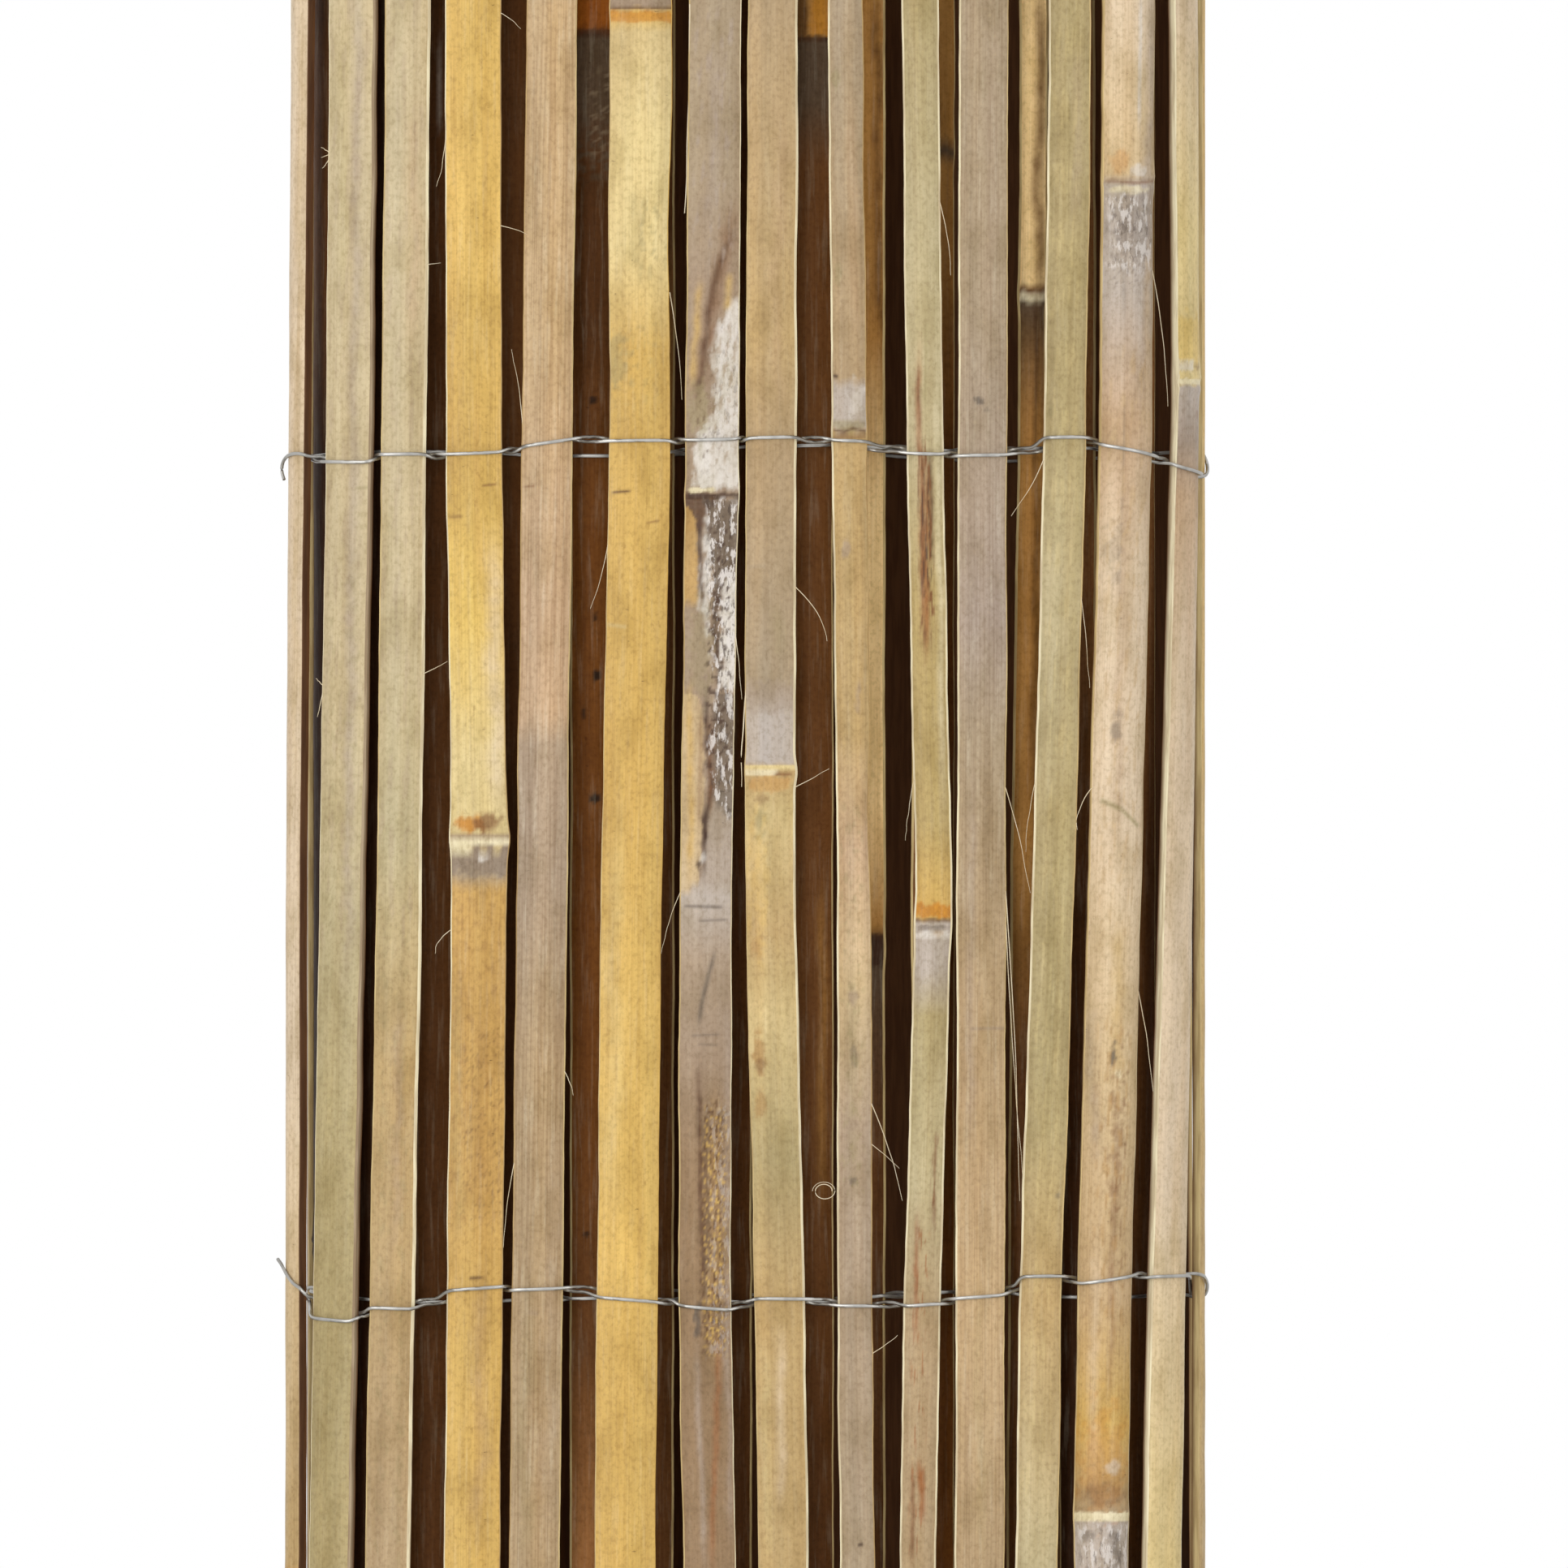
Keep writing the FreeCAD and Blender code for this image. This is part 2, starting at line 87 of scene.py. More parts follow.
# Looks of the slats that show. Heights are mm above the upper wire row, and places across are
# shares of the half width, from -1 at the left edge to 1 at the right edge. What each entry holds:
# tones: height, tone. The first and the last go on beyond.
# areas: tone, amount, side, softness in mm, [(height, place), ...] from that line to that side.
# bands: tone, amount, width, [(height, place), ...] along the slat.
# patches: tone, amount, top, foot, left, right, softness in mm.
# stains: tone, amount, top, foot, left, right, share covered, size of a spot in mm, its stretch.
# lines: tone, amount, thickness in mm, [(place, height), ...] across the slat.
# crust: as areas, without a tone, for old sheath scale.
# edges: side, height, reach in mm, how far the edge stands out there in mm.
# cuts and chamfers: tones and widths in mm of the cut edges, at the left and the right.
# grain and specks: how strongly fibre lines and dark specks show.
LOOKS = {
    "front_slat_01": {
        "tones": [(-110, "pink cream"), (-150, "warm sand"), (-198, "tan")],
        "bands": [("warm sand", 0.6, 0.35, [(80, 0.6), (-60, 0.5)])],
        # Painted shade: the dark right cut is the side wall turned away from the light.
        "cuts": ("cream", "bark"), "chamfers": (0.2, 0.15), "grain": 0.6},
    "front_slat_02": {
        "tones": [(-40, "sand"), (-80, "green tan"), (-130, "olive tan")],
        "bands": [("mauve", 0.6, 0.24, [(80, 0.4), (0, 0.3), (-90, 0.5)]),
            ("pale green", 0.45, 0.25, [(75, -0.3), (30, -0.2)]),
            ("moss", 0.25, 0.3, [(-110, 0.2), (-190, -0.2)])],
        "stains": [("pink grey", 0.3, 84, -90, -1, 1, 0.35, 2.4, 4),
            ("moss", 0.25, -20, -200, -1, 1, 0.3, 2, 2)],
        "lines": [("moss", 0.5, 0.25, [(0.55, -6.6), (1, -6.5)])],
        "cuts": ("cream", "grey tan"), "chamfers": (0.2, 0.35), "grain": 0.35},
    "front_slat_03": {
        "tones": [(-20, "sand"), (-70, "green tan"), (-110, "tan"), (-198, "dun")],
        "bands": [("pink tan", 0.5, 0.3, [(60, 0.5), (20, 0.4)]),
            ("mauve", 0.4, 0.25, [(-100, 0.1), (-140, 0.2)]),
            ("green tan", 0.5, 0.2, [(20, -0.75), (-60, -0.8)])],
        "stains": [("pink grey", 0.3, 84, -90, -1, 1, 0.35, 2.4, 4),
            ("moss", 0.25, -60, -200, -1, 1, 0.3, 2, 2)],
        "cuts": ("straw", "cream"), "chamfers": (0.2, 0.5), "grain": 0.4},
    "front_slat_04": {
        "tones": [(30, "honey"), (0, "gold"), (-30, "yellow honey"), (-55, "pale straw"),
            (-66, "pale straw"), (-75, "grey tan"), (-78, "deep gold"), (-130, "deep gold"),
            (-160, "gold")],
        "bands": [("pink cream", 0.65, 0.35, [(-18, 0.7), (-62, 0.75)]),
            ("deep gold", 0.5, 0.1, [(8, 0.1), (-24, 0.15)]),
            ("yellow honey", 0.6, 0.25, [(-15, -0.6), (-45, -0.5)]),
            ("moss", 0.35, 0.2, [(-95, -0.8), (-140, -0.7)]),
            ("brown", 0.25, 0.25, [(-100, 0.1), (-132, 0)]),
            ("pink tan", 0.4, 0.3, [(-148, 0.2), (-190, 0.3)])],
        "stains": [("brass", 0.5, -76, -140, -1, 1, 0.3, 1.6, 2.2),
            ("bark", 0.35, -100, -140, -0.6, 1, 0.2, 0.9, 1.6)],
        "patches": [("amber", 0.9, -64.6, -67.6, -0.8, 0.15, 1), ("brown", 0.8, -64.4, -67.4, -0.1, 0.8, 1),
            ("lead", 0.75, -67.7, -68.6, -1, 1, 0.25), ("cream", 0.95, -68.7, -70, -1, 1, 0.2),
            ("node grey", 1, -70.3, -75.2, -1, 1, 1.6), ("cream", 0.9, -69.6, -71.4, -1, -0.35, 0.8),
            ("chalk", 0.8, -71.4, -72.8, 0, 0.4, 0.6)],
        "lines": [("brown", 0.7, 0.2, [(0.35, -6.2), (0.75, -6)]),
            ("brown", 0.5, 0.25, [(-0.9, -11.8), (-0.5, -11.7)]),
            ("bark", 0.8, 0.25, [(-0.15, -146.4), (0.25, -146.3)])],
        "edges": [("right", -69, 2, 0.35), ("left", -69, 2, 0.2)],
        "cuts": ("cream", "tan"), "chamfers": (0.2, 0.15), "grain": 0.6, "specks": 0.85},
    "front_slat_05": {
        "tones": [(20, "biscuit"), (-30, "pink tan"), (-47, "pink tan"), (-52, "pink grey"),
            (-75, "pink grey"), (-110, "dun")],
        "bands": [("pink tan", 0.5, 0.2, [(0, 0.5), (-40, 0.3)]),
            ("moss", 0.3, 0.3, [(-150, -0.4), (-195, -0.5)]),
            ("pink grey", 0.4, 0.3, [(-120, 0.6), (-190, 0.5)])],
        "lines": [("brown", 0.7, 0.2, [(-0.85, -6.4), (-0.55, -6.3)]),
            ("lead", 0.5, 0.4, [(-0.3, -152.5), (0, -152.6)])],
        "cuts": ("tan", "straw"), "chamfers": (0.15, 0.2), "grain": 1},
    "front_slat_06": {
        "tones": [(78.8, "lead"), (77.2, "honey"), (74, "straw"), (55, "pale straw"), (36, "pale straw"),
            (18, "gold"), (-60, "gold"), (-120, "honey"), (-142, "honey"), (-160, "gold")],
        "bands": [("moss", 0.3, 0.25, [(45, -0.1), (30, 0)]),
            ("pale straw", 0.4, 0.3, [(-70, -0.6), (-130, -0.5)])],
        "stains": [("moss", 0.35, 48, 28, -0.2, 1, 0.45, 1.9, 1.3),
            ("moss", 0.22, 26, 4, -1, 0.8, 0.35, 1.5, 1.4)],
        "patches": [("amber", 0.75, 77.6, 75.8, -1, 1, 0.5), ("moss", 0.5, 20, 12, -1, -0.5, 2.5),
            ("bark", 0.8, 78.6, 78.1, -1, 1, 0.2)],
        "lines": [("bark", 0.85, 0.22, [(-0.85, -7.4), (-0.35, -7.2)]),
            ("brown", 0.6, 0.2, [(0.35, -12.8), (0.65, -12.4)]),
            ("straw", 0.6, 0.3, [(-0.95, -30.8), (-0.4, -31.2)])],
        "edges": [("right", 64, 14, 0.25), ("right", 36, 14, -0.5), ("left", 40, 12, 0.25)],
        "cuts": ("straw", "gold"), "chamfers": (0.15, 0.12), "grain": 0.5, "specks": 0.7},
    "front_slat_07": {
        "tones": [(50, "grey tan"), (30, "lead"), (-76, "lead"), (-79, "ash"), (-90, "pink grey"),
            (-104, "lead"), (-125, "old tan")],
        "areas": [("chalk", 0.95, "right", 1.2, [(26.5, 0.85), (22.2, 0.2), (17.9, -0.05), (12.2, 0.1),
                (7.9, 0.2), (5, -0.15), (2.9, -0.6), (0.7, -0.7), (-6.6, -0.65)]),
            ("bark", 0.9, "left", 0.8, [(-7.4, 0.3), (-9.5, 0.1), (-12, -0.25), (-14.5, -0.35)]),
            ("deep gold", 0.8, "left", 0.6, [(-10, -0.9), (-12, -0.6), (-20, -0.45), (-27, -0.5)]),
            ("char", 0.6, "right", 1.2, [(-8.6, -0.2), (-18, -0.15), (-21, 0.1), (-27, 0.4), (-30, 0.9)]),
            ("warm sand", 0.8, "left", 0.5, [(-43, -0.5), (-46, -0.2), (-60, -0.1), (-72, -0.2),
                (-76, -0.3), (-78, -0.7)]),
            ("ash", 0.55, "right", 0.8, [(-60, 0.25), (-70, 0), (-76, -0.2), (-78, -0.7), (-80, 0.95)]),
            ("char", 0.55, "right", 0.9, [(-43, 0.3), (-48, 0.05), (-61, 0.15), (-65, 0.8)])],
        "bands": [("mauve", 0.5, 0.3, [(70, 0.2), (40, -0.2)]),
            ("brown", 0.6, 0.34, [(42, 0.8), (33, 0.35), (26, 0.05), (18, -0.3), (10, -0.45)]),
            ("bark", 0.95, 0.15, [(38, 0.75), (33, 0.3), (28, 0), (22, -0.2), (16, -0.45), (9, -0.6)]),
            ("gold", 0.7, 0.16, [(29, -0.6), (12, -0.75)]), ("honey", 0.6, 0.14, [(31, 0.6), (25, 0.55)]),
            ("umber", 1, 0.1, [(-12, -0.42), (-22, -0.35), (-25, -0.3), (-29, -0.15)]),
            ("umber", 1, 0.13, [(-24, 0.35), (-31, 0.2), (-35, 0.3), (-42, 0.55)]),
            ("umber", 1, 0.1, [(-43, -0.05), (-52, 0), (-60, 0.15), (-66, 0.02), (-74, -0.12)]),
            ("gold", 0.8, 0.16, [(-43, -0.75), (-74, -0.6)]),
            ("brown", 0.5, 0.12, [(-44, -0.3), (-66, -0.3)]),
            ("brown", 0.55, 0.15, [(-48, 0.12), (-63, 0.22)]),
            ("char", 0.8, 0.1, [(-89, 0.35), (-93, 0.1), (-97, -0.1), (-101, -0.2)]),
            ("brass", 0.45, 0.3, [(-116, 0.45), (-160, 0.35)]),
            ("mauve", 0.7, 0.12, [(-160, -0.35), (-195, -0.2)]),
            ("rust", 0.7, 0.13, [(-158, 0.5), (-180, 0.3), (-196, 0.1)]),
            ("bark", 1, 0.11, [(-110, -0.25), (-146, -0.1)]),
            ("mauve", 0.6, 0.14, [(-100, 0.88), (-190, 0.9)]),
            ("umber", 0.5, 0.1, [(-118, 0.1), (-158, 0.02)])],
        "stains": [("gold", 0.9, -114, -162, -0.05, 0.85, 0.4, 0.8, 1.5),
            ("bark", 0.9, -112, -162, -0.2, 0.8, 0.35, 0.7, 2),
            ("pink grey", 0.6, 26, -6, 0, 1, 0.4, 1.2, 3), ("mauve", 0.6, 80, 30, -0.8, 0.8, 0.3, 1.8, 4),
            ("bark", 0.6, 16, -6, -0.6, 0.3, 0.15, 0.7, 3),
            ("umber", 0.8, -10, -60, -0.1, 0.9, 0.4, 0.8, 2.5)],
        "patches": [("moss", 0.5, 12, 2, -0.9, -0.1, 2), ("chalk", 0.8, -17.5, -29, -0.32, 0, 1.6),
            ("chalk", 0.95, -23, -42.5, 0.5, 1, 1.2), ("moss", 0.35, -27, -44, -0.8, 0.2, 2),
            ("cream", 0.9, -6.6, -7.5, -0.9, 0.1, 0.3), ("umber", 0.8, -7.6, -8.5, -0.9, 1, 0.3),
            ("umber", 0.9, -65.5, -70, -0.2, 0, 0.8), ("umber", 0.8, -72, -74.5, -0.35, -0.2, 0.6),
            ("chalk", 0.6, -71, -73, -0.2, 0, 0.6), ("char", 0.75, -152, -156, -0.45, -0.15, 1)],
        "lines": [("char", 0.6, 0.25, [(-0.8, -80.6), (0.6, -80.8)]),
            ("char", 0.5, 0.2, [(-0.2, -83.2), (0.8, -83)]),
            ("char", 0.4, 0.2, [(-0.5, -103.5), (0.5, -103.3)]),
            ("char", 0.3, 0.2, [(-0.2, -105), (0.4, -105.2)])],
        "crust": [(0.45, "right", 1.5, [(22, 0.3), (12, 0.15), (0, 0)]),
            (1, "right", 1, [(-9, -0.15), (-20, -0.1), (-30, 0), (-43, 0.4)]),
            (0.9, "right", 1.2, [(-43, 0.3), (-48, 0.05), (-61, 0.2), (-65, 0.8)]),
            (0.25, "right", 1.5, [(-116, 0.3), (-160, 0.2)])],
        "edges": [("left", -45, 18, -0.2), ("right", 0, 45, 0.25)],
        "cuts": ("straw", "cream"), "chamfers": (0.2, 0.15), "grain": 0.3, "specks": 0.6},
    "front_slat_08": {
        "tones": [(80, "dun"), (20, "tan"), (0, "dun"), (-42, "grey tan"), (-47, "ash"), (-55, "ash"),
            (-56.6, "tan"), (-64, "straw"), (-85, "tan"), (-100, "straw"), (-125, "olive tan"),
            (-150, "tan")],
        "bands": [("pink tan", 0.4, 0.3, [(60, 0.3), (10, 0.2)]),
            ("moss", 0.3, 0.3, [(-28, 0.2), (-36, 0.3)]),
            ("pink cream", 0.6, 0.2, [(-157, 0.1), (-185, -0.1)]),
            ("pale green", 0.5, 0.25, [(-160, -0.7), (-195, -0.6)])],
        "patches": [("pale straw", 0.9, -55.7, -56.4, -1, 1, 0.2),
            ("cream", 0.8, -56.6, -57.4, -1, 0.4, 0.25), ("brown", 0.8, -56.9, -57.7, 0.25, 0.85, 0.3),
            ("amber", 0.35, -57.6, -60.5, -0.9, 0.9, 0.8), ("brown", 0.4, -60.5, -62.5, -0.6, -0.1, 0.7),
            ("moss", 0.6, -64, -68, -0.7, -0.2, 1.2), ("brass", 0.75, -103.5, -110, -0.85, -0.35, 1),
            ("brown", 0.5, -107, -110, -0.75, -0.45, 0.8), ("brass", 0.6, -114, -118, -0.85, -0.35, 0.8),
            ("brass", 0.6, -86, -90, -0.8, -0.35, 0.8), ("mauve", 0.5, -41, -46, -1, 1, 2),
            ("honey", 0.4, -68, -84, -0.9, -0.2, 3)],
        "lines": [("grey tan", 0.6, 0.3, [(-0.9, -20.6), (-0.2, -20.4)])],
        "edges": [("right", -57, 2, 0.3), ("left", 0, 40, 0.12)],
        "cuts": ("straw", "cream"), "chamfers": (0.15, 0.4), "grain": 0.35, "specks": 0.25},
    "front_slat_09": {
        "tones": [(80, "grey tan"), (30, "dun"), (13, "dun"), (11, "ash"), (4.5, "ash"), (3, "tan"),
            (-50, "tan"), (-70, "pink tan"), (-95, "warm sand"), (-120, "pink grey"), (-198, "grey tan")],
        "bands": [("pink tan", 0.4, 0.3, [(60, 0.3), (20, 0.4)]),
            ("moss", 0.35, 0.35, [(-95, -0.2), (-128, 0)]),
            ("pink grey", 0.5, 0.3, [(-140, 0.5), (-190, 0.4)])],
        "stains": [("moss", 0.35, -60, -135, -0.9, 0.6, 0.3, 1.8, 1.5)],
        "patches": [("moss", 0.6, 5.5, 3.4, -0.9, 0.9, 0.6), ("chalk", 0.5, 11.5, 6, 0, 0.9, 1.2),
            ("lead", 0.7, -15.8, -18.8, -0.6, 0, 0.7), ("lead", 0.6, -42, -46, 0.1, 0.45, 0.8),
            ("lead", 0.65, -95, -98, -0.4, 0.2, 0.9), ("char", 0.4, -106, -109, -0.3, 0.2, 1),
            ("lead", 0.6, -118, -120.5, -0.4, 0.2, 0.9), ("moss", 0.5, 33, 29.5, -0.8, -0.4, 0.9),
            ("moss", 0.5, 67, 64, -0.9, -0.4, 0.9), ("char", 0.5, -128.5, -130, -0.5, 0.2, 0.5)],
        "lines": [("bark", 0.8, 0.25, [(-0.9, 3.6), (-0.3, 3.3), (0.2, 3.9), (0.9, 3.4)]),
            ("brown", 0.6, 0.22, [(-0.9, 2.3), (0.9, 2.4)]),
            ("umber", 0.9, 0.3, [(-0.95, 13.2), (-0.75, 13.1)]),
            ("umber", 0.85, 0.3, [(0.1, -193.6), (0.3, -193.5)])],
        "edges": [("right", -65, 22, -0.5)],
        "cuts": ("cream", "tan"), "chamfers": (0.3, 0.15), "grain": 0.5, "specks": 0.3},
    "front_slat_10": {
        "tones": [(80, "olive tan"), (40, "green tan"), (0, "green tan"), (-25, "olive gold"),
            (-66, "olive gold"), (-80, "gold"), (-82.8, "gold"), (-83.6, "ash"), (-92, "ash"),
            (-100, "olive tan"), (-130, "green tan"), (-155, "dun")],
        "bands": [("cream", 0.5, 0.22, [(10, 0.75), (-60, 0.7)]),
            ("bark", 1, 0.11, [(0, -0.15), (-12, -0.22), (-26, -0.28)]),
            ("bark", 1, 0.1, [(14, -0.35), (4, -0.3)]),
            ("bark", 1, 0.13, [(-1, 0.22), (-10, 0.26), (-19, 0.28)]),
            ("rust", 0.9, 0.16, [(-4, 0.05), (-18, -0.02), (-34, -0.15)]),
            ("rust", 0.8, 0.2, [(16, -0.3), (-8, -0.35), (-22, -0.25), (-33, -0.2)]),
            ("moss", 0.5, 0.1, [(22, 0.1), (8, 0.05)]), ("brown", 0.9, 0.1, [(-121, 0.55), (-129, 0.55)]),
            ("brown", 0.8, 0.12, [(-131, 0.5), (-137, 0.5)]),
            ("rust", 0.85, 0.13, [(-136, -0.45), (-156, -0.35)]),
            ("rust", 1, 0.2, [(-179, 0), (-189, 0.15)]),
            ("brown", 0.95, 0.13, [(-181, -0.4), (-196, -0.3)])],
        "stains": [("brown", 1, 4, -36, -0.5, 0.4, 0.5, 0.8, 9),
            ("umber", 0.8, 0, -27, -0.4, 0.3, 0.4, 0.6, 8),
            ("brown", 0.8, -118, -140, 0.35, 0.75, 0.35, 0.7, 8),
            ("rust", 0.7, -134, -200, -0.6, 0.3, 0.25, 0.8, 9)],
        "patches": [("amber", 0.9, -80.3, -82.7, -1, 1, 0.9), ("bark", 0.7, -82.8, -83.3, -1, 1, 0.2),
            ("chalk", 0.7, -85.2, -86.4, -1, 1, 0.3), ("char", 0.45, -84, -84.8, -0.8, 0.8, 0.3),
            ("pink tan", 0.4, -85, -86, 0, 0.5, 0.4), ("rust", 0.5, -181, -184, 0, 0.4, 0.8)],
        "cuts": ("cream", "cream"), "chamfers": (0.3, 0.3), "grain": 0.45, "specks": 0.25},
    "front_slat_11": {
        "tones": [(30, "grey tan"), (-30, "mauve"), (-50, "grey tan"), (-90, "dun"), (-150, "biscuit"),
            (-198, "dun")],
        "bands": [("pink grey", 0.5, 0.3, [(75, 0.4), (20, 0.3)]),
            ("mauve", 0.4, 0.2, [(-60, -0.4), (-120, -0.5)]),
            ("moss", 0.25, 0.2, [(-150, -0.2), (-195, 0.1)])],
        "patches": [("char", 0.75, 9.6, 8, -0.35, 0, 0.5), ("char", 0.4, 7.6, 6.6, 0.05, 0.3, 0.4)],
        "lines": [("lead", 0.7, 0.25, [(-0.4, -102.3), (0.9, -102.2)])],
        "cuts": ("cream", "straw"), "chamfers": (0.3, 0.15), "grain": 0.8, "specks": 0.15},
    "front_slat_12": {
        "tones": [(10, "olive tan"), (-30, "green tan"), (-70, "olive tan"), (-120, "olive tan"),
            (-150, "tan"), (-198, "green tan")],
        "bands": [("grey tan", 0.5, 0.3, [(70, 0.5), (40, 0.3)]),
            ("moss", 0.3, 0.4, [(-70, 0), (-115, -0.2)]), ("pale green", 0.5, 0.2, [(0, 0.7), (-90, 0.6)])],
        "stains": [("pale straw", 0.2, 84, -190, -0.9, 0.6, 0.35, 1.4, 6)],
        "patches": [("moss", 0.6, 8, 6, -0.9, -0.6, 0.6), ("moss", 0.5, 73, 71.4, -0.7, -0.4, 0.5),
            ("char", 0.5, -131, -132.5, 0.6, 0.85, 0.5)],
        "cuts": ("cream", "straw"), "chamfers": (0.35, 0.2), "grain": 0.4, "specks": 0.3},
    "front_slat_13": {
        "tones": [(80, "pink cream"), (55, "warm sand"), (49, "warm sand"), (47, "ash"), (28, "ash"),
            (5, "pink tan"), (-20, "pink cream"), (-60, "pink cream"), (-110, "warm sand"),
            (-150, "biscuit"), (-172, "gold"), (-187.4, "dun"), (-189.6, "ash")],
        "bands": [("mauve", 0.75, 0.3, [(80, 0.75), (30, 0.8)]),
            # Painted highlight: the narrow chalk band on the next line is the shine along the round culm
            # near its top.
            ("chalk", 0.9, 0.07, [(80, 0.22), (58, 0.2)]), ("biscuit", 0.6, 0.2, [(35, 0.7), (0, 0.65)]),
            ("brown", 0.35, 0.25, [(0, -0.2), (-70, -0.2)]),
            ("char", 0.45, 0.05, [(44, -0.3), (24, -0.35)]),
            ("char", 0.35, 0.05, [(10, -0.3), (-25, -0.35)]),
            ("gold", 0.4, 0.25, [(-85, 0.1), (-110, 0.1)]),
            ("brown", 0.5, 0.13, [(-128, 0.2), (-168, 0.15)]),
            ("mauve", 0.5, 0.2, [(-100, -0.8), (-125, -0.7)]),
            ("pink cream", 0.5, 0.2, [(-140, -0.5), (-180, -0.4)])],
        "stains": [("brass", 0.5, -98, -160, -0.6, 0.7, 0.35, 1.3, 6),
            ("brown", 0.45, -100, -150, 0, 0.7, 0.25, 0.8, 5),
            ("char", 0.4, 46, 26, -0.8, 0.6, 0.3, 0.7, 1.2),
            ("biscuit", 0.5, 20, -90, -0.9, 0.9, 0.35, 1.6, 3)],
        "patches": [("amber", 0.4, 53, 49, -0.9, -0.2, 1), ("chalk", 0.6, 50.6, 48.4, -0.2, 0.5, 0.5),
            ("cream", 0.6, 46.8, 45.4, -0.9, 0.6, 0.4), ("char", 0.35, 45, 34, -0.8, 0.6, 3),
            ("char", 0.5, -46.5, -51.5, -0.45, -0.1, 1), ("char", 0.25, -14, -22, -0.9, -0.3, 2),
            ("char", 0.8, -105, -108.3, -0.15, 0.1, 0.5), ("cream", 0.6, -109.5, -111, 0.1, 0.3, 0.6),
            ("amber", 0.35, -170, -187, -0.9, 0.9, 4), ("brown", 0.4, -182.6, -186.4, -0.9, 0.9, 1),
            ("chalk", 0.4, -178.6, -181.2, 0.1, 0.6, 0.8), ("cream", 0.95, -187.8, -189.3, -1, 1, 0.25),
            ("char", 0.45, -190.8, -192.6, -0.8, -0.3, 0.7), ("char", 0.5, -191, -197.5, 0.3, 0.7, 1.2),
            ("brown", 0.5, -116, -128, 0, 0.35, 2.5)],
        "lines": [("brown", 0.6, 0.25, [(-0.9, 47.6), (0.1, 47.3), (0.9, 47.7)]),
            ("moss", 0.75, 0.4, [(-0.7, -62), (0, -63.5), (0.7, -66.3)])],
        "crust": [(0.7, "right", 1.5, [(45, -0.9), (32, -0.8)]),
            (0.7, "right", 1.5, [(-190, -0.9), (-204, -0.9)])],
        "cuts": ("straw", "sand"), "chamfers": (0.1, 0.1), "grain": 0.45, "specks": 0.7},
    "front_slat_14": {
        "tones": [(80, "pink cream"), (40, "pale straw"), (12.2, "pale straw"), (11.4, "ash"), (2, "mauve"),
            (-8, "pink tan"), (-40, "pink cream"), (-130, "pink cream"), (-198, "pale straw")],
        "bands": [("pink tan", 0.4, 0.4, [(0, -0.2), (-60, 0.2)])],
        "patches": [("yellow honey", 0.6, 24, 16, -1, 1, 2), ("chalk", 0.6, 16, 14.4, -1, 0, 0.5),
            ("brown", 0.5, 15.8, 14.6, 0, 0.9, 0.4), ("cream", 0.9, 12.9, 12, -1, 1, 0.2),
            ("brown", 0.4, 7.5, 6, 0.4, 0.9, 0.4)],
        "cuts": ("cream", "cream"), "chamfers": (0.2, 0.3), "grain": 0.35},
    # The inner slats below are coloured with painted shade, darker than their bamboo, and in places with
    # painted light where a strip is lit just behind a front slat.
    "inner_slat_01": {
        "tones": [(80, "rear dark"), (28, "rear brown"), (0, "rear deep")]},
    "inner_slat_02": {
        "tones": [(-198, "rear deep")]},
    "inner_slat_03": {
        "tones": [(-198, "rear dark")],
        "bands": [("ash", 0.6, 0.05, [(74, 0.3), (58, 0.32)])]},
    "inner_slat_04": {
        "tones": [(80, "rear dark"), (0, "rear brown"), (-60, "rear dark")]},
    "inner_slat_05": {
        "tones": [(75, "rear orange"), (73.5, "rear grey"), (62, "rear grey"), (50, "rear dark"),
            (20, "rear dark"), (-10, "rear red"), (-120, "rear red"), (-160, "rear brown"),
            (-198, "rear tan")],
        "stains": [("rear grey", 0.8, 74, 45, -1, 1, 0.5, 1.6, 1.6),
            ("grey tan", 0.35, 70, 50, -0.3, 1, 0.35, 0.9, 1.5)],
        "patches": [("soot", 0.9, 9.8, 8.2, -0.35, 0, 0.5), ("soot", 0.8, -29, -30.4, -0.1, 0.15, 0.4),
            ("soot", 0.95, -38.8, -40.8, -0.1, 0.2, 0.4), ("soot", 0.8, -45.6, -47.4, -0.6, -0.35, 0.4),
            ("soot", 0.95, -60.4, -62.4, -0.15, 0.2, 0.4), ("soot", 0.8, -138, -139.4, -0.5, -0.25, 0.4),
            ("umber", 0.7, 75, 73.6, -1, 1, 0.3)],
        "specks": 0.8},
    "inner_slat_06": {
        "tones": [(80, "rear tan"), (40, "rear brown"), (0, "rear gold"), (-20, "rear brown")]},
    "inner_slat_07": {
        "tones": [(-198, "rear dark")]},
    "inner_slat_08": {
        "tones": [(74, "rear gold"), (72.5, "rear grey"), (62, "rear grey"), (50, "rear brown"),
            (-120, "rear brown"), (-198, "rear dark")],
        "bands": [("rear gold", 0.5, 0.2, [(-80, 0.6), (-130, 0.55)])],
        "patches": [("amber", 0.7, 82, 73.5, 0.1, 1, 0.8), ("umber", 0.7, 82, 73.5, -1, -0.1, 0.8),
            ("umber", 0.8, 73.6, 72.6, -1, 1, 0.3)]},
    "inner_slat_09": {
        "tones": [(20, "rear gold"), (-10, "strip gold"), (-60, "strip gold"), (-84, "rear gold"),
            (-87, "umber"), (-90, "rear grey"), (-125, "rear brown"), (-198, "rear dark")],
        # Painted shade: the dark band is the shadow of the front slat beside this strip, over its right
        # part.
        "bands": [("rear dark", 0.85, 0.25, [(80, 0.7), (40, 0.8), (12, 1.1)])],
        "patches": [("umber", 0.9, -85.5, -91.5, -1, 1, 0.8)]},
    "inner_slat_10": {
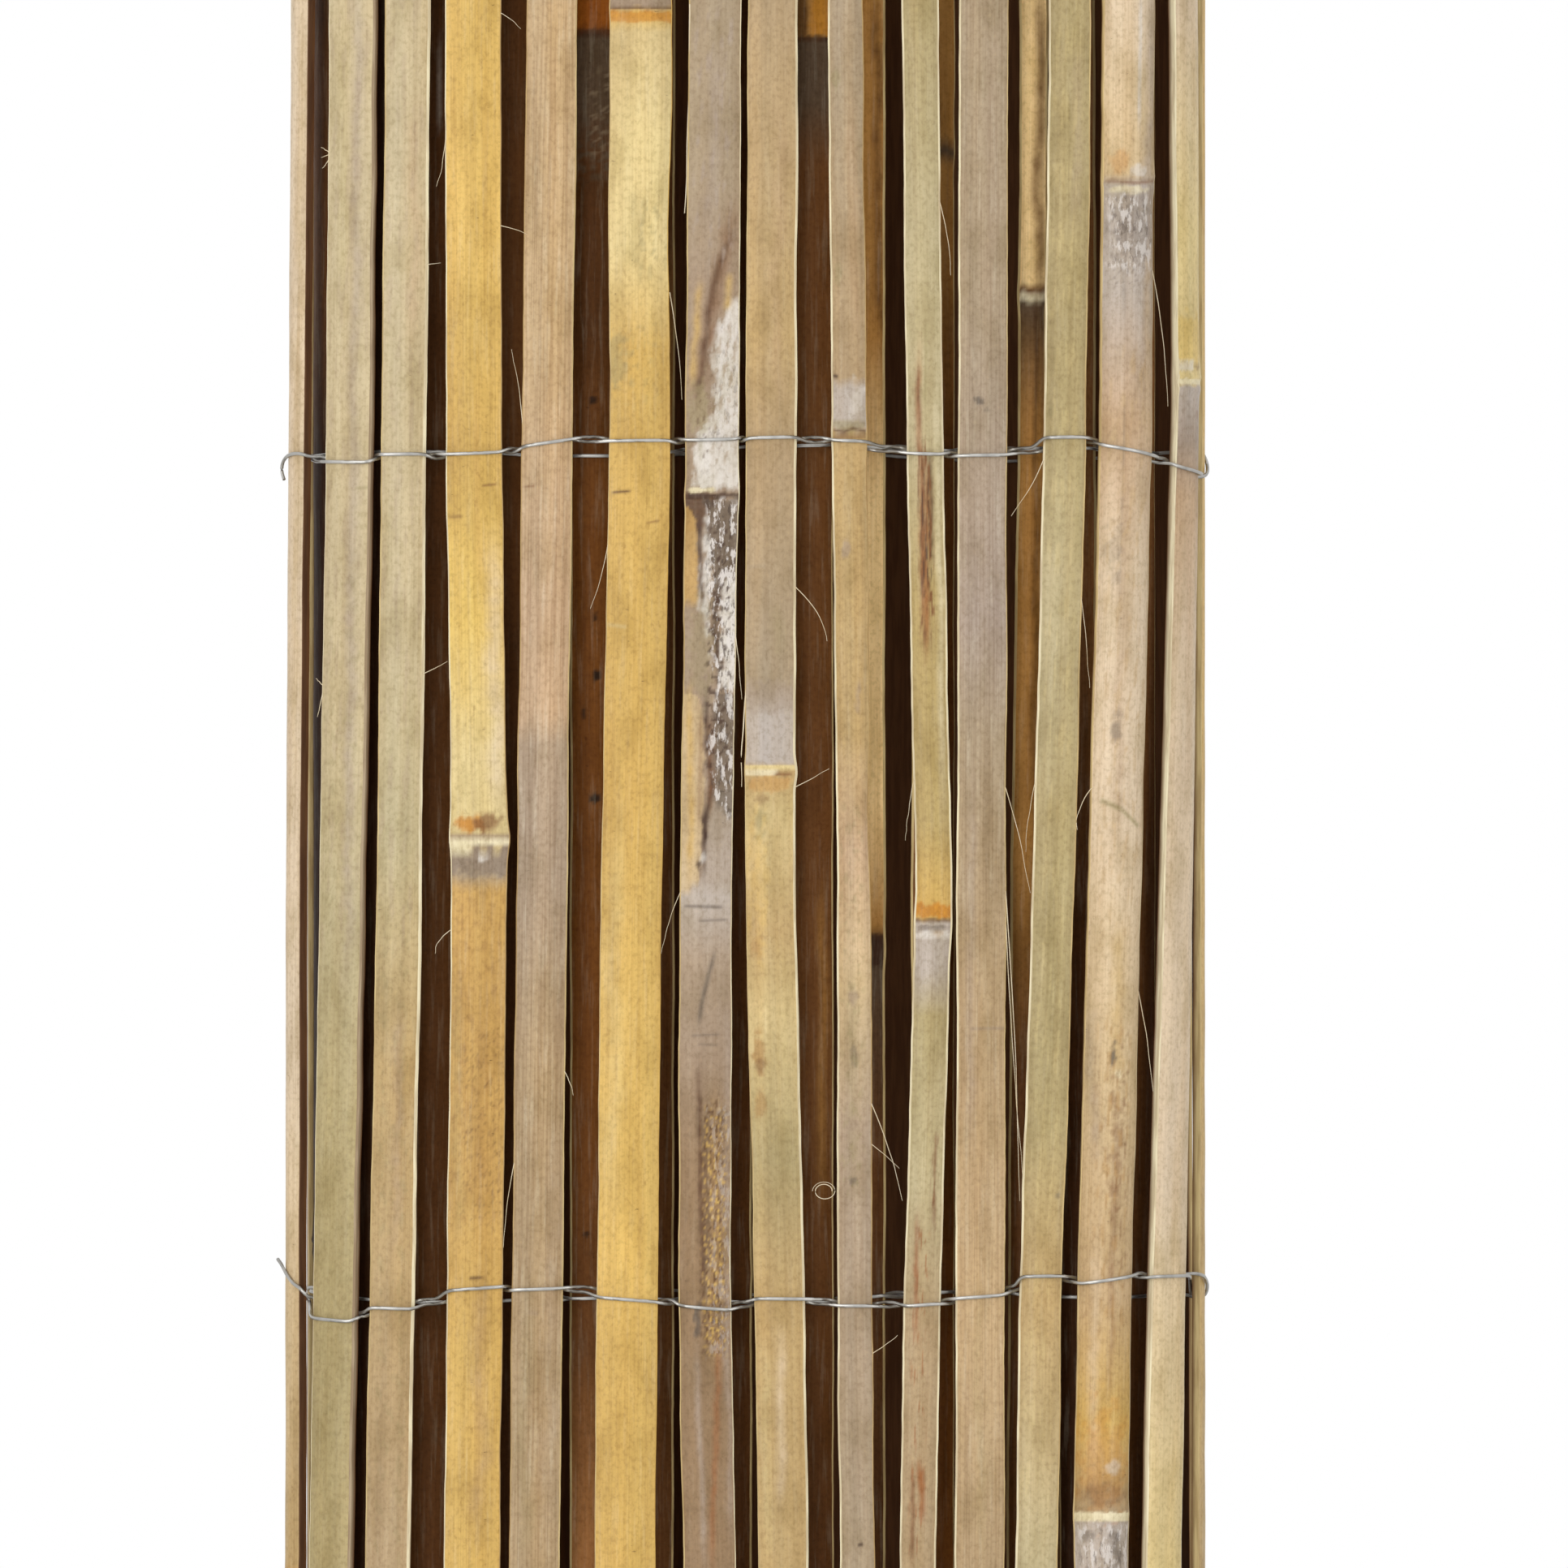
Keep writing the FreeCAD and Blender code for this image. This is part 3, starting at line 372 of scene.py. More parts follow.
        "tones": [(56, "rear gold"), (53, "rear grey"), (50, "rear gold"), (0, "rear red")],
        "bands": [("umber", 0.8, 0.1, [(80, 0.1), (55, 0.3)])]},
    "inner_slat_12": {
        "tones": [(30, "strip gold"), (28.6, "rear brown"), (27.2, "cream"), (26, "rear grey"),
            (0, "rear gold"), (-70, "rear gold"), (-110, "rear brown")],
        # Painted shade: the broad darker bands on the right are the shadow of the front slat beside this
        # strip.
        "bands": [("rear brown", 0.85, 0.5, [(80, 0.5), (30, 0.5)]),
            ("umber", 0.7, 0.2, [(26, 0.3), (-5, 0.3)]), ("rear dark", 0.7, 0.4, [(-5, 0.5), (-60, 0.6)])]},
    "inner_slat_13": {
        "tones": [(-20, "rear tan"), (-80, "rear dark"), (-198, "rear deep")]},
    "inner_slat_14": {
        "tones": [(20, "rear tan"), (-60, "rear brown"), (-198, "rear dark")]},
}

# What the slats that are not listed are drawn from: the inner ones from painted-shade tones darker than the
# bamboo, for the shade inside the roll, and the others from plain bamboo tones.
SHADED_TONES = ("rear brown", "rear dark", "rear red", "rear dark", "rear deep")
OUTER_TONES = ("sand", "tan", "straw", "olive tan", "pink grey", "grey tan", "honey", "gold")


def linear(code):
    """Linear red, green and blue of an sRGB hex colour."""
    channels = np.array([int(code[k:k + 2], 16) / 255.0 for k in (1, 3, 5)])
    low = channels / 12.92
    high = ((channels + 0.055) / 1.055) ** 2.4
    return np.where(channels <= 0.04045, low, high)


def tone(name):
    """Linear colour of a named tone."""
    return linear(TONES[name])


def ripple(t, length, seed, terms=5):
    """Smooth wander of about -1 to 1: the mean of a few sines of t whose wavelengths are near length."""
    draw = np.random.default_rng(seed)
    lengths = length * draw.uniform(0.6, 1.9, terms)
    phases = draw.uniform(0.0, 2.0 * np.pi, terms)
    angles = 2.0 * np.pi * np.asarray(t)[..., None] / lengths + phases
    return 1.6 * np.sin(angles).mean(axis=-1)


def mottle(x, z, size, seed):
    """Soft blotches of about -1 to 1 in the plane: the mean of six sines of seeded directions.

    Each wavelength is near the size, and each sine runs along x cos(turn) + z sin(turn).
    """
    draw = np.random.default_rng(seed)
    total = 0.0
    for turn, share, phase in draw.uniform(0.0, 1.0, (6, 3)):
        along = x * np.cos(np.pi * turn) + z * np.sin(np.pi * turn)
        total = total + np.sin(2.0 * np.pi * (along / (size * (0.7 + 0.9 * share)) + phase))
    return total / 3.0


def smooth(low, high, t):
    """Rise from 0 at low to 1 at high along 3s^2 - 2s^3."""
    s = np.clip((t - low) / (high - low), 0.0, 1.0)
    return s * s * (3.0 - 2.0 * s)


def bell(t, middle, width):
    """Bell curve of t: the exponential of minus the square of the distance in widths."""
    return np.exp(-((t - middle) / width) ** 2)


# Slats

# Half the length of the line in the middle of the roll, which the inner faces are nearest to.
CORE = 0.055
# Heights of a solid's sections are the same within this.
SAME_HEIGHT = 6e-6
# A node widens its slat by more than this.
NODE_SIGN = 0.1 * MM
# A slat deeper than this is a half-round piece of culm. The others are flatter strips.
CULM_DEPTH = 4.0 * MM
# Thickness at the edges, and the power of the face's curve: below 1 it is rounder.
CULM_EDGE = 1.2 * MM
INNER_EDGE = 1.25 * MM
STRIP_EDGE = 1.4 * MM
CULM_BOW = 0.7
STRIP_BOW = 1.0
# Columns of points across the face of a front slat, an inner one and any other.
FRONT_COLUMNS = 27
INNER_COLUMNS = 13
OTHER_COLUMNS = 9
# The face begins this far inside its chamfers, which fall by this share of their width.
TUCK = 0.05 * MM
CHAMFER_SLOPE = 0.8
# Length that the grain is given on the strip that closes a section.
CLOSING_LENGTH = 1.0 * MM
# Each slat takes its grain this much further on than the one before.
GRAIN_SHIFT = 0.04

# Corners of a slat's line are rounded over this many mm up and down.
BEND = 6.0
# Distances between rings in mm: where front and inner slats show, and on the rest.
FRONT_STEP = 1.5
INNER_STEP = 2.2
PLAIN_STEP = 6.0
# The same at nodes, patches, stains and lines, with how far from nodes and lines it holds. A
# patch longer than LONG_PATCH has the close rings only at its borders.
NODE_REACH = 6.0
NODE_STEP = 0.3
PLAIN_NODE_STEP = 0.75
LONG_PATCH = 8.0
PATCH_STEP = 0.45
STAIN_STEP = 0.5
LINE_REACH = 0.7
LINE_STEP = 0.22
LEAST_STEP = 0.15
# Bevel of the sawn ends in mm: its height and its depth.
BEVEL_HEIGHT = 0.25
BEVEL_DEPTH = 0.2
# Soft waves of the face in mm: their height and length.
WAVE_HEIGHT = 0.05
WAVE_LENGTH = 26.0
# Wander of the edges in mm: how far, the length of a wave, and the first of its two seeds.
EDGE_WANDER = ((0.10, 38.0, 8), (0.03, 7.0, 10))
# How much a node widens each side, and over what height, in mm.
SWELL = 0.16
SWELL_HEIGHT = 2.6
# Rings of a node in mm: rise, middle over the node, width, and whether it wavers across the slat.
# They are a low swelling, a sharp scar line, the groove below it and a soft ridge.
NODE_RINGS = ((0.22, 0.0, 3.2, False), (0.16, 0.0, 0.38, True), (-0.16, -0.95, 0.42, True),
              (0.12, -2.3, 0.8, False))


class Slat:
    """The line and sizes of a slat, read from the sections of its solid."""

    def __init__(self, name):
        self.name = name
        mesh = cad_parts[name].data
        points = np.empty(len(mesh.vertices) * 3)
        mesh.vertices.foreach_get("co", points)
        points = np.unique(points.reshape(-1, 3).round(6), axis=0)
        corners = int((points[:, 2] < SAME_HEIGHT).sum())
        heights, counts = np.unique(points[:, 2].round(5), return_counts=True)
        table = np.array([self.section(z, points[np.abs(points[:, 2] - z) < SAME_HEIGHT, :2])
                          for z in heights[counts == corners]])
        self.z = table[:, 0]
        self.middle = table[:, 1:3]
        self.across = table[:, 3:5]
        widths = table[:, 5]
        self.width = widths.min()
        self.crown = table[:, 6].min()
        self.nodes = self.z[widths > self.width + NODE_SIGN]
        self.top = self.z[-1]
        self.culm = self.crown > CULM_DEPTH
        self.inner = name.startswith("inner")
        self.front = name.startswith("front")
        self.edge = CULM_EDGE if self.culm else INNER_EDGE if self.inner else STRIP_EDGE

    @staticmethod
    def section(z, corners):
        """Height, middle of the inner face, direction across, width and depth of one section.

        The inner face is the longest side, and where two are as long, the one nearer the core.
        """
        centre = corners.mean(axis=0)
        turn = np.arctan2(corners[:, 1] - centre[1], corners[:, 0] - centre[0])
        ring = corners[np.argsort(turn)]
        sides = np.roll(ring, -1, axis=0) - ring
        lengths = np.hypot(sides[:, 0], sides[:, 1])
        middles = ring + sides / 2.0
        away = np.hypot(np.maximum(np.abs(middles[:, 0]) - CORE, 0.0), middles[:, 1])
        long_sides = np.where(lengths > 0.97 * lengths.max())[0]
        pick = long_sides[np.argmin(away[long_sides])]
        across = sides[pick] / lengths[pick]
        out = np.array([across[1], -across[0]])
        if (centre - middles[pick]) @ out < 0.0:
            across, out = -across, -out
        depth = ((ring - middles[pick]) @ out).max()
        return [z, *middles[pick], *across, lengths[pick], depth]

    def at(self, z):
        """Middle of the inner face, direction across and direction outwards at heights z."""
        z = np.asarray(z, float)
        middle = np.stack([np.interp(z, self.z, self.middle[:, k]) for k in (0, 1)], axis=-1)
        across = np.stack([np.interp(z, self.z, self.across[:, k]) for k in (0, 1)], axis=-1)
        across = across / np.linalg.norm(across, axis=-1, keepdims=True)
        out = np.stack([across[..., 1], -across[..., 0]], axis=-1)
        return middle, across, out


def near_line(slat, z):
    """The slat's line at heights z, with its corners rounded: the mean of nearby places."""
    steps = np.linspace(-BEND, BEND, 7) * MM
    samples = [slat.at(np.clip(z + step, 0.0, slat.top)) for step in steps]
    middle, across = [np.mean([sample[k] for sample in samples], axis=0) for k in (0, 1)]
    ends = smooth(0.0, 2.0 * BEND * MM, np.minimum(z, slat.top - z))[:, None]
    middle = ends * middle + (1.0 - ends) * slat.at(z)[0]
    across = across / np.linalg.norm(across, axis=-1, keepdims=True)
    return middle, across, np.stack([across[:, 1], -across[:, 0]], axis=-1)


def ring_heights(slat, look):
    """Heights of the rings: close in the photographed stretch, and closest at nodes and marks."""
    bevel = BEVEL_HEIGHT * MM
    step = FRONT_STEP if slat.front else INNER_STEP if slat.inner else PLAIN_STEP
    foot, top = (UPPER_HEIGHT + SHOWN_FOOT) * MM, (UPPER_HEIGHT + SHOWN_TOP) * MM
    spread = [np.arange(bevel, foot, PLAIN_STEP * MM), np.arange(foot, top, step * MM),
              np.arange(top, slat.top - bevel, PLAIN_STEP * MM)]
    for node in slat.nodes:
        step = NODE_STEP if slat.front and foot < node < top else PLAIN_NODE_STEP
        spread.append(node + np.arange(-NODE_REACH, NODE_REACH, step) * MM)
    for _, _, high, low, _, _, soft in look.get("patches", ()):
        borders = (high, low) if high - low > LONG_PATCH else ((high + low) / 2.0,)
        reach = min(high - low, LONG_PATCH) / 2.0 + soft
        for border in borders:
            spread.append((UPPER_HEIGHT + border + np.arange(-reach, reach, PATCH_STEP)) * MM)
    for _, _, high, low, _, _, _, size, stretch in look.get("stains", ()):
        step = max(STAIN_STEP, 0.25 * size * stretch)
        spread.append((UPPER_HEIGHT + np.arange(low, high, step)) * MM)
    for _, _, _, places in look.get("lines", ()):
        heights = [height for _, height in places]
        marks = np.arange(min(heights) - LINE_REACH, max(heights) + LINE_REACH, LINE_STEP)
        spread.append((UPPER_HEIGHT + marks) * MM)
    z = np.unique(np.concatenate(spread))
    z = z[(z > bevel) & (z < slat.top - 2.0 * bevel)]
    z = z[np.concatenate([[True], np.diff(z) > LEAST_STEP * MM])]
    return np.concatenate([[0.0, bevel], z, [slat.top - bevel, slat.top]])


def node_relief(z, s, node, seed):
    """Height of a node's rings over the skin: a bell curve of the height over the node for each."""
    dz = (z - node) / MM
    line = dz - 0.3 * ripple(s, 0.9, seed)
    return MM * sum(rise * bell(line if wavers else dz, middle, width)
                    for rise, middle, width, wavers in NODE_RINGS)


class Section:
    """Columns of a slat's section, once round: left wall, crowned face, right wall, inner face.

    across is the share of the half width, inset the distance in from the wall, level the share
    of the wall's height, drop the distance below it, and skin tells the face from the cut sides.
    """

    def __init__(self, columns, chamfers):
        left, right = chamfers
        face = np.linspace(-1.0, 1.0, columns)
        whole = np.ones(columns)
        tucked = np.where(face < 0.0, left + TUCK, right + TUCK) * np.abs(face)
        self.across = np.concatenate([[-1, -1, -1, -1], face, [1, 1, 1, 1, 0.4, -0.4]])
        self.skin = np.concatenate([np.zeros(4), whole, np.zeros(6)])
        self.inset = np.concatenate([[0, 0, 0, left], tucked, [right, 0, 0, 0, 0, 0]])
        self.level = np.concatenate([[0, 0.5, 1, 1], whole, [1, 1, 0.5, 0, 0, 0]])
        self.drop = np.concatenate([[0, 0, CHAMFER_SLOPE * left, 0], np.zeros(columns),
                                    [0, CHAMFER_SLOPE * right, 0, 0, 0, 0]])


def grid_faces(rows, columns):
    """Corner numbers of the quads of a grid that closes round, row above row."""
    k, j = np.meshgrid(np.arange(rows - 1), np.arange(columns), indexing="ij")
    following = (j + 1) % columns
    quads = [k * columns + j, k * columns + following,
             (k + 1) * columns + following, (k + 1) * columns + j]
    return np.stack(quads, axis=-1).reshape(-1, 4)


def enclosed(points, quads):
    """Six times the volume that the quads enclose: the sum of the triple products."""
    a, b, c, d = [points[quads[:, k]] for k in range(4)]
    return (np.cross(a, b) * c).sum() + (np.cross(a, c) * d).sum()


def make_mesh(name, points, quads, caps, turn=40.0):
    """Mesh of quads and two end faces, all facing outwards, with sharp edges past an angle."""
    if enclosed(points, quads) < 0.0:
        quads = quads[:, ::-1]
        caps = [cap[::-1] for cap in caps]
    mesh = bpy.data.meshes.new(name)
    faces = quads.tolist() + [list(map(int, cap)) for cap in caps]
    mesh.from_pydata(points.tolist(), [], faces)
    mesh.shade_smooth()
    mesh.set_sharp_from_angle(angle=math.radians(turn))
    return mesh


def add_layer(mesh, name, values):
    """Store one colour of four numbers for each point."""
    layer = mesh.attributes.new(name, "FLOAT_COLOR", "POINT")
    layer.data.foreach_set("color", np.ascontiguousarray(values, np.float32).ravel())


def add_lengths(mesh, lengths, heights, columns):
    """UV map in metres: distance round the section, and height."""
    loops = np.empty(len(mesh.loops), np.int64)
    mesh.loops.foreach_get("vertex_index", loops)
    column = loops % columns
    u = lengths[column]
    starts = np.empty(len(mesh.polygons), np.int64)
    totals = np.empty(len(mesh.polygons), np.int64)
    mesh.polygons.foreach_get("loop_start", starts)
    mesh.polygons.foreach_get("loop_total", totals)
    polygon = np.repeat(np.arange(len(starts)), totals)
    has_last = np.zeros(len(starts), bool)
    has_last[polygon[column == columns - 1]] = True
    wraps = (column == 0) & has_last[polygon] & (totals[polygon] == 4)
    u = u + np.where(wraps, lengths[-1] - lengths[0] + CLOSING_LENGTH, 0.0)
    uv = np.stack([u, heights[loops]], axis=-1)
    mesh.uv_layers.new(name="lengths").data.foreach_set("uv", uv.astype(np.float32).ravel())


def place_piece(mesh, material, nodes):
    """Object for a finished mesh, which rides on the roll and stands for CAD nodes."""
    piece = bpy.data.objects.new(mesh.name, mesh)
    bpy.context.scene.collection.objects.link(piece)
    mesh.materials.append(material)
    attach(piece, "root")
    if nodes:
        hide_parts(*nodes)
    return piece


# Colours of the slats

def main_pieces():
    """Slats in their order along the mat."""
    counts = (("front", 14), ("right", 3), ("back", 9), ("left", 3), ("inner", 14))
    return [Slat("%s_slat_%02d" % (side, k + 1)) for side, count in counts for k in range(count)]


def slat_look(slat, number):
    """The look of a slat: listed for the ones that show, and drawn from a few tones for the rest."""
    draw = np.random.default_rng(SEED + number)
    first, second, third = draw.choice(SHADED_TONES if slat.inner else OUTER_TONES, 3)
    plain = {"tones": [(300, first), (0, second), (-400, third)], "cuts": ("straw", "straw"),
             "chamfers": tuple(draw.uniform(0.15, 0.45, 2)), "specks": draw.uniform(0.1, 0.7),
             "grain": draw.uniform(0.3, 1.0)}
    return {**plain, **LOOKS.get(slat.name, {})}


def lay(skin, colour, amount):
    """Lay a tone over the skin by an amount for each point."""
    amount = amount[..., None]
    return skin * (1.0 - amount) + tone(colour) * amount


# Tones of a plain node: tone, its middle over the node and its width in mm, and the amount.
NODE_TONES = (("amber", 2.2, 1.5, 0.5), ("cream", 0.1, 0.5, 0.8), ("bark", -0.9, 0.35, 0.7),
              ("cream", -1.9, 0.5, 0.5))


def paint_node(skin, dz):
    """A plain node: amber above, a cream scar line, a dark one, and a whitened band below."""
    for colour, middle, width, amount in NODE_TONES:
        skin = lay(skin, colour, amount * bell(dz, middle, width))
    return lay(skin, "ash", 0.5 * smooth(-1.0, -2.0, dz) * smooth(-11.0, -3.0, dz))


def paint_bands(skin, bands, level, s, seed):
    """Bands along the slat: bell curves of the place across, which fade out at both ends.

    Their middle line wanders by shares of their width, in waves near 23 mm and 5 mm long.
    """
    for k, (colour, amount, width, places) in enumerate(bands):
        places = sorted(places)
        heights = [height for height, _ in places]
        middle = np.interp(level, heights, [place for _, place in places])
        middle = middle + 0.5 * width * ripple(level, 23.0, seed + k)
        middle = middle + 0.2 * width * ripple(level, 5.0, seed + k)
        fade = min(0.15 * (heights[-1] - heights[0]), 6.0 if width < 0.2 else 12.0)
        ends = smooth(heights[0] - fade, heights[0] + fade, level)
        ends = ends * smooth(heights[-1] + fade, heights[-1] - fade, level)
        uneven = 0.82 + 0.18 * ripple(level, 4.0, seed + 20 + k)
        skin = lay(skin, colour, np.clip(amount * ends * uneven * bell(s, middle, width), 0.0, 1.0))
    return skin


def ragged(reach, soft, level, s, half, seed):
    """1 well inside a mark and 0 well outside: a soft step of the distance in.

    Blotches 2.4 mm and 1 mm wide, and longer along the slat, make it uneven.
    """
    uneven = mottle(s * half, 0.7 * level, 2.4, seed)
    uneven = uneven + 0.6 * mottle(s * half, 0.7 * level, 1.0, seed + 1)
    return smooth(-0.5 * soft, 0.5 * soft, reach + 0.4 * soft * uneven)


def inside(high, low, left, right, soft, level, s, half, seed):
    """How far each point lies in a patch: a blotch is an oval, others end at their nearest border."""
    reach = np.minimum(high - level, level - low)
    if abs(left) < 1.0 and abs(right) < 1.0:
        wide, tall = (right - left) * half / 2.0, (high - low) / 2.0
        beside_middle = (s - (left + right) / 2.0) * half
        over_middle = level - (high + low) / 2.0
        far = np.hypot(beside_middle / wide, over_middle / tall)
        return ragged((1.0 - far) * min(wide, tall), soft, level, s, half, seed)
    for border, side in ((left, 1.0), (right, -1.0)):
        if abs(border) < 1.0:
            reach = np.minimum(reach, side * (s - border) * half)
    return ragged(reach, soft, level, s, half, seed)


def stained(high, low, left, right, cover, size, stretch, level, s, half, seed):
    """Spots of about the given size that cover a share of an area, longer along it by stretch.

    The area fades over 5 mm at its ends and 0.4 of the half width at its sides.
    """
    x, z = s * half, level / stretch
    spots = mottle(x, z, size, seed) + 0.5 * mottle(x, z, 0.45 * size, seed + 1)
    area = smooth(low, low + 5.0, level) * smooth(high, high - 5.0, level)
    area = area * smooth(left - 0.2, left + 0.2, s) * smooth(right + 0.2, right - 0.2, s)
    return area * smooth(0.15, 0.6, spots + 1.6 * cover - 0.8)


def beside(side, soft, places, level, s, half, seed):
    """How far each point lies between a border line along the slat and the edge on one side."""
    places = sorted(places)
    heights = [height for height, _ in places]
    border = np.interp(level, heights, [place for _, place in places])
    reach = (s - border) * half * (1.0 if side == "right" else -1.0)
    reach = np.minimum(reach, np.minimum(level - heights[0], heights[-1] - level))
    return ragged(reach, soft, level, s, half, seed)


def paint_lines(skin, lines, level, s):
    """Thin lines across: a bell curve of the distance above or below a line through given places."""
    for colour, amount, thickness, places in lines:
        shares = [share for share, _ in places]
        middle = np.interp(s, shares, [height for _, height in places])
        ends = smooth(shares[0] - 0.12, shares[0], s) * smooth(shares[-1] + 0.12, shares[-1], s)
        skin = lay(skin, colour, amount * ends * bell(level, middle, 1.2 * thickness))
    return skin


def lay_marks(skin, marks, shape, level, s, half, seed):
    """Lay every mark of one list over the skin, as far as its shape reaches."""
    for k, (colour, amount, *place) in enumerate(marks):
        skin = lay(skin, colour, amount * shape(*place, level, s, half, seed + 2 * k))
    return skin


def paint_skin(slat, look, level, s, half, seed):
    """Tones of the skin by height, a little uneven across and along, with all marks over them.

    Waves across are shares of the half width long, and waves along are mm long.
    """
    stops = sorted(look["tones"])
    heights = [height for height, _ in stops]
    colours = np.array([tone(name) for _, name in stops])
    wavy = level + 0.3 * ripple(s, 0.8, seed)
    skin = np.stack([np.interp(wavy, heights, colours[:, c]) for c in range(3)], axis=-1)
    band = ripple(s + 0.2 * ripple(level, 130.0, seed + 1), 1.1, seed + 2)
    warm = ripple(s + 0.3 * ripple(level, 90.0, seed + 3), 1.7, seed + 4)
    skin = skin * (1.0 + 0.05 * band + 0.035 * ripple(level, 42.0, seed + 5))[..., None]
    skin = skin * (1.0 + 0.02 * warm[..., None] * np.array([1.0, 0.3, -1.0]))
    for node in slat.nodes:
        place = node / MM - UPPER_HEIGHT
        if not (slat.name in LOOKS and SHOWN_FOOT < place < SHOWN_TOP):
            skin = paint_node(skin, level - place - 0.45 * ripple(s, 0.9, seed + 6))
    skin = lay_marks(skin, look.get("areas", ()), beside, level, s, half, seed + 60)
    skin = paint_bands(skin, look.get("bands", ()), level, s, seed + 30)
    skin = lay_marks(skin, look.get("patches", ()), inside, level, s, half, seed + 80)
    skin = lay_marks(skin, look.get("stains", ()), stained, level, s, half, seed + 180)
    return paint_lines(skin, look.get("lines", ()), level, s)


def paint(slat, look, z, section, seed):
    """Colour and grain of each point of one slat's grid, and its marks: crust, 0, cut and specks.

    Sides and ends have the tones of cut bamboo, and the inner face has a brown of painted shade, for the
    shade inside the roll.
    """
    level = (z / MM - UPPER_HEIGHT)[:, None]
    s = section.across[None, :]
    half = slat.width / MM / 2.0
    skin = paint_skin(slat, look, level, s, half, seed)
    left, right = [tone(name) for name in look["cuts"]]
    cut = np.where(s[..., None] < 0.0, left, right)
    # Painted shade: the inner face, turned into the roll, takes a brown darker than the bamboo.
    inner_face = (section.level == 0)[None, :, None]
    cut = np.where(inner_face, tone("rear brown"), cut)
    is_skin = section.skin[None, :, None]
    colour = is_skin * skin + (1.0 - is_skin) * cut
    marks = np.zeros(colour.shape[:2] + (4,))
    for k, (amount, *place) in enumerate(look.get("crust", ())):
        scale = amount * beside(*place, level, s, half, seed + 140 + 2 * k)
        marks[..., 0] = np.maximum(marks[..., 0], scale)
    marks[..., 0] *= section.skin
    marks[..., 2] = 1.0 - section.skin
    marks[..., 3] = look.get("specks", 0.2)
    for end in (0, -1):
        colour[end] = tone("straw")
        marks[end, :, 2] = 1.0
    grain = np.full(colour.shape[:2] + (1,), look.get("grain", 0.5))
    return np.concatenate([colour, grain], axis=-1), marks


def face_lift(slat, section, z, seed):
    """Distance of each point from the inner face: edge + (crown - edge)(1 - s^2)^bow on the face.

    Soft waves and the rings of the nodes come on top.
    """
    s = section.across[None, :]
    face = section.skin[None, :]
    bow = CULM_BOW if slat.culm else STRIP_BOW
    body = slat.edge + (slat.crown - slat.edge) * np.maximum(1.0 - s * s, 0.0) ** bow
    lift = face * body + (1.0 - face) * (section.level * slat.edge - section.drop)[None, :]
    level = z / MM - UPPER_HEIGHT
    lift = lift + face * WAVE_HEIGHT * MM * ripple(level + 9.0 * s, WAVE_LENGTH, seed + 7)
    for node in slat.nodes:
        lift = lift + (section.level[None, :] > 0.9) * node_relief(z, s, node, seed + 6)
    return lift


def edge_sway(look, s, level, seed):
    """How far the edges stand out: each wanders with height, and has its listed places."""
    sway = 0.0
    for amount, length, first in EDGE_WANDER:
        left, right = [ripple(level, length, seed + first + k) for k in (0, 1)]
        sway = sway + amount * np.where(s < 0.0, left, right)
    for side, place, reach, stand in look.get("edges", ()):
        here = (s < 0.0) if side == "left" else (s > 0.0)
        sway = sway + here * stand * bell(level, place, reach)
    return sway * MM * np.abs(s) ** 2


def build_slat(slat, number, material):
    """Carry the section up the slat's line: middle + across x + out lift, at each height."""
    look = slat_look(slat, number)
    seed = SEED + 100 * (number + 1)
    columns = FRONT_COLUMNS if slat.front else INNER_COLUMNS if slat.inner else OTHER_COLUMNS
    section = Section(columns, [c * MM for c in look["chamfers"]])
    heights = ring_heights(slat, look)
    middle, across, out = near_line(slat, heights)
    s = section.across[None, :]
    z = heights[:, None]
    lift = face_lift(slat, section, z, seed)
    sway = edge_sway(look, s, z / MM - UPPER_HEIGHT, seed)
    swell = sum(SWELL * MM * bell(z, node, SWELL_HEIGHT * MM) for node in slat.nodes)
    x = s * (slat.width / 2.0 + swell) + np.sign(s) * sway - np.sign(s) * section.inset[None, :]
    bevel = BEVEL_DEPTH * MM
    for end in (0, -1):
        x[end] -= np.sign(section.across) * bevel * (np.abs(section.across) > 0.9)
        lift[end] = np.clip(lift[end], bevel, lift[end].max() - bevel)
    flat = middle[:, None, :] + across[:, None, :] * x[..., None] + out[:, None, :] * lift[..., None]
    points = np.concatenate([flat, np.broadcast_to(z[..., None], x.shape + (1,))], axis=-1)
    points = points.reshape(-1, 3)
    rows, columns = x.shape
    caps = [np.arange(columns)[::-1], np.arange(columns) + (rows - 1) * columns]
    mesh = make_mesh(slat.name + "_skin", points, grid_faces(rows, columns), caps)
    steps = np.hypot(np.diff(x[rows // 2]), np.diff(lift[rows // 2]))
    lengths = np.concatenate([[0.0], np.cumsum(steps)]) + GRAIN_SHIFT * (number + 1)
    add_lengths(mesh, lengths, points[:, 2], columns)
    colour, marks = paint(slat, look, heights, section, seed)
    add_layer(mesh, "tone", colour)
    add_layer(mesh, "marks", marks)
    return place_piece(mesh, material, [slat.name])


# Wires. Heights are mm above their own row.

WIRE_RADIUS = 0.325 * MM
WIRE_SIDES = 6
WIRE_STEP = 0.6 * MM
# Distance of a strand's middle line from the face that it lies on, and more of it at a node.
STAND_OFF = 0.425 * MM
NODE_LIFT = 0.35 * MM
# How far each strand passes above or below the row's line in a gap, in mm.
STRAND_GAP = 0.43
# A gap narrower than this has one point of the strand's path, and a wider one has two.
NARROW_GAP = 2.4 * MM
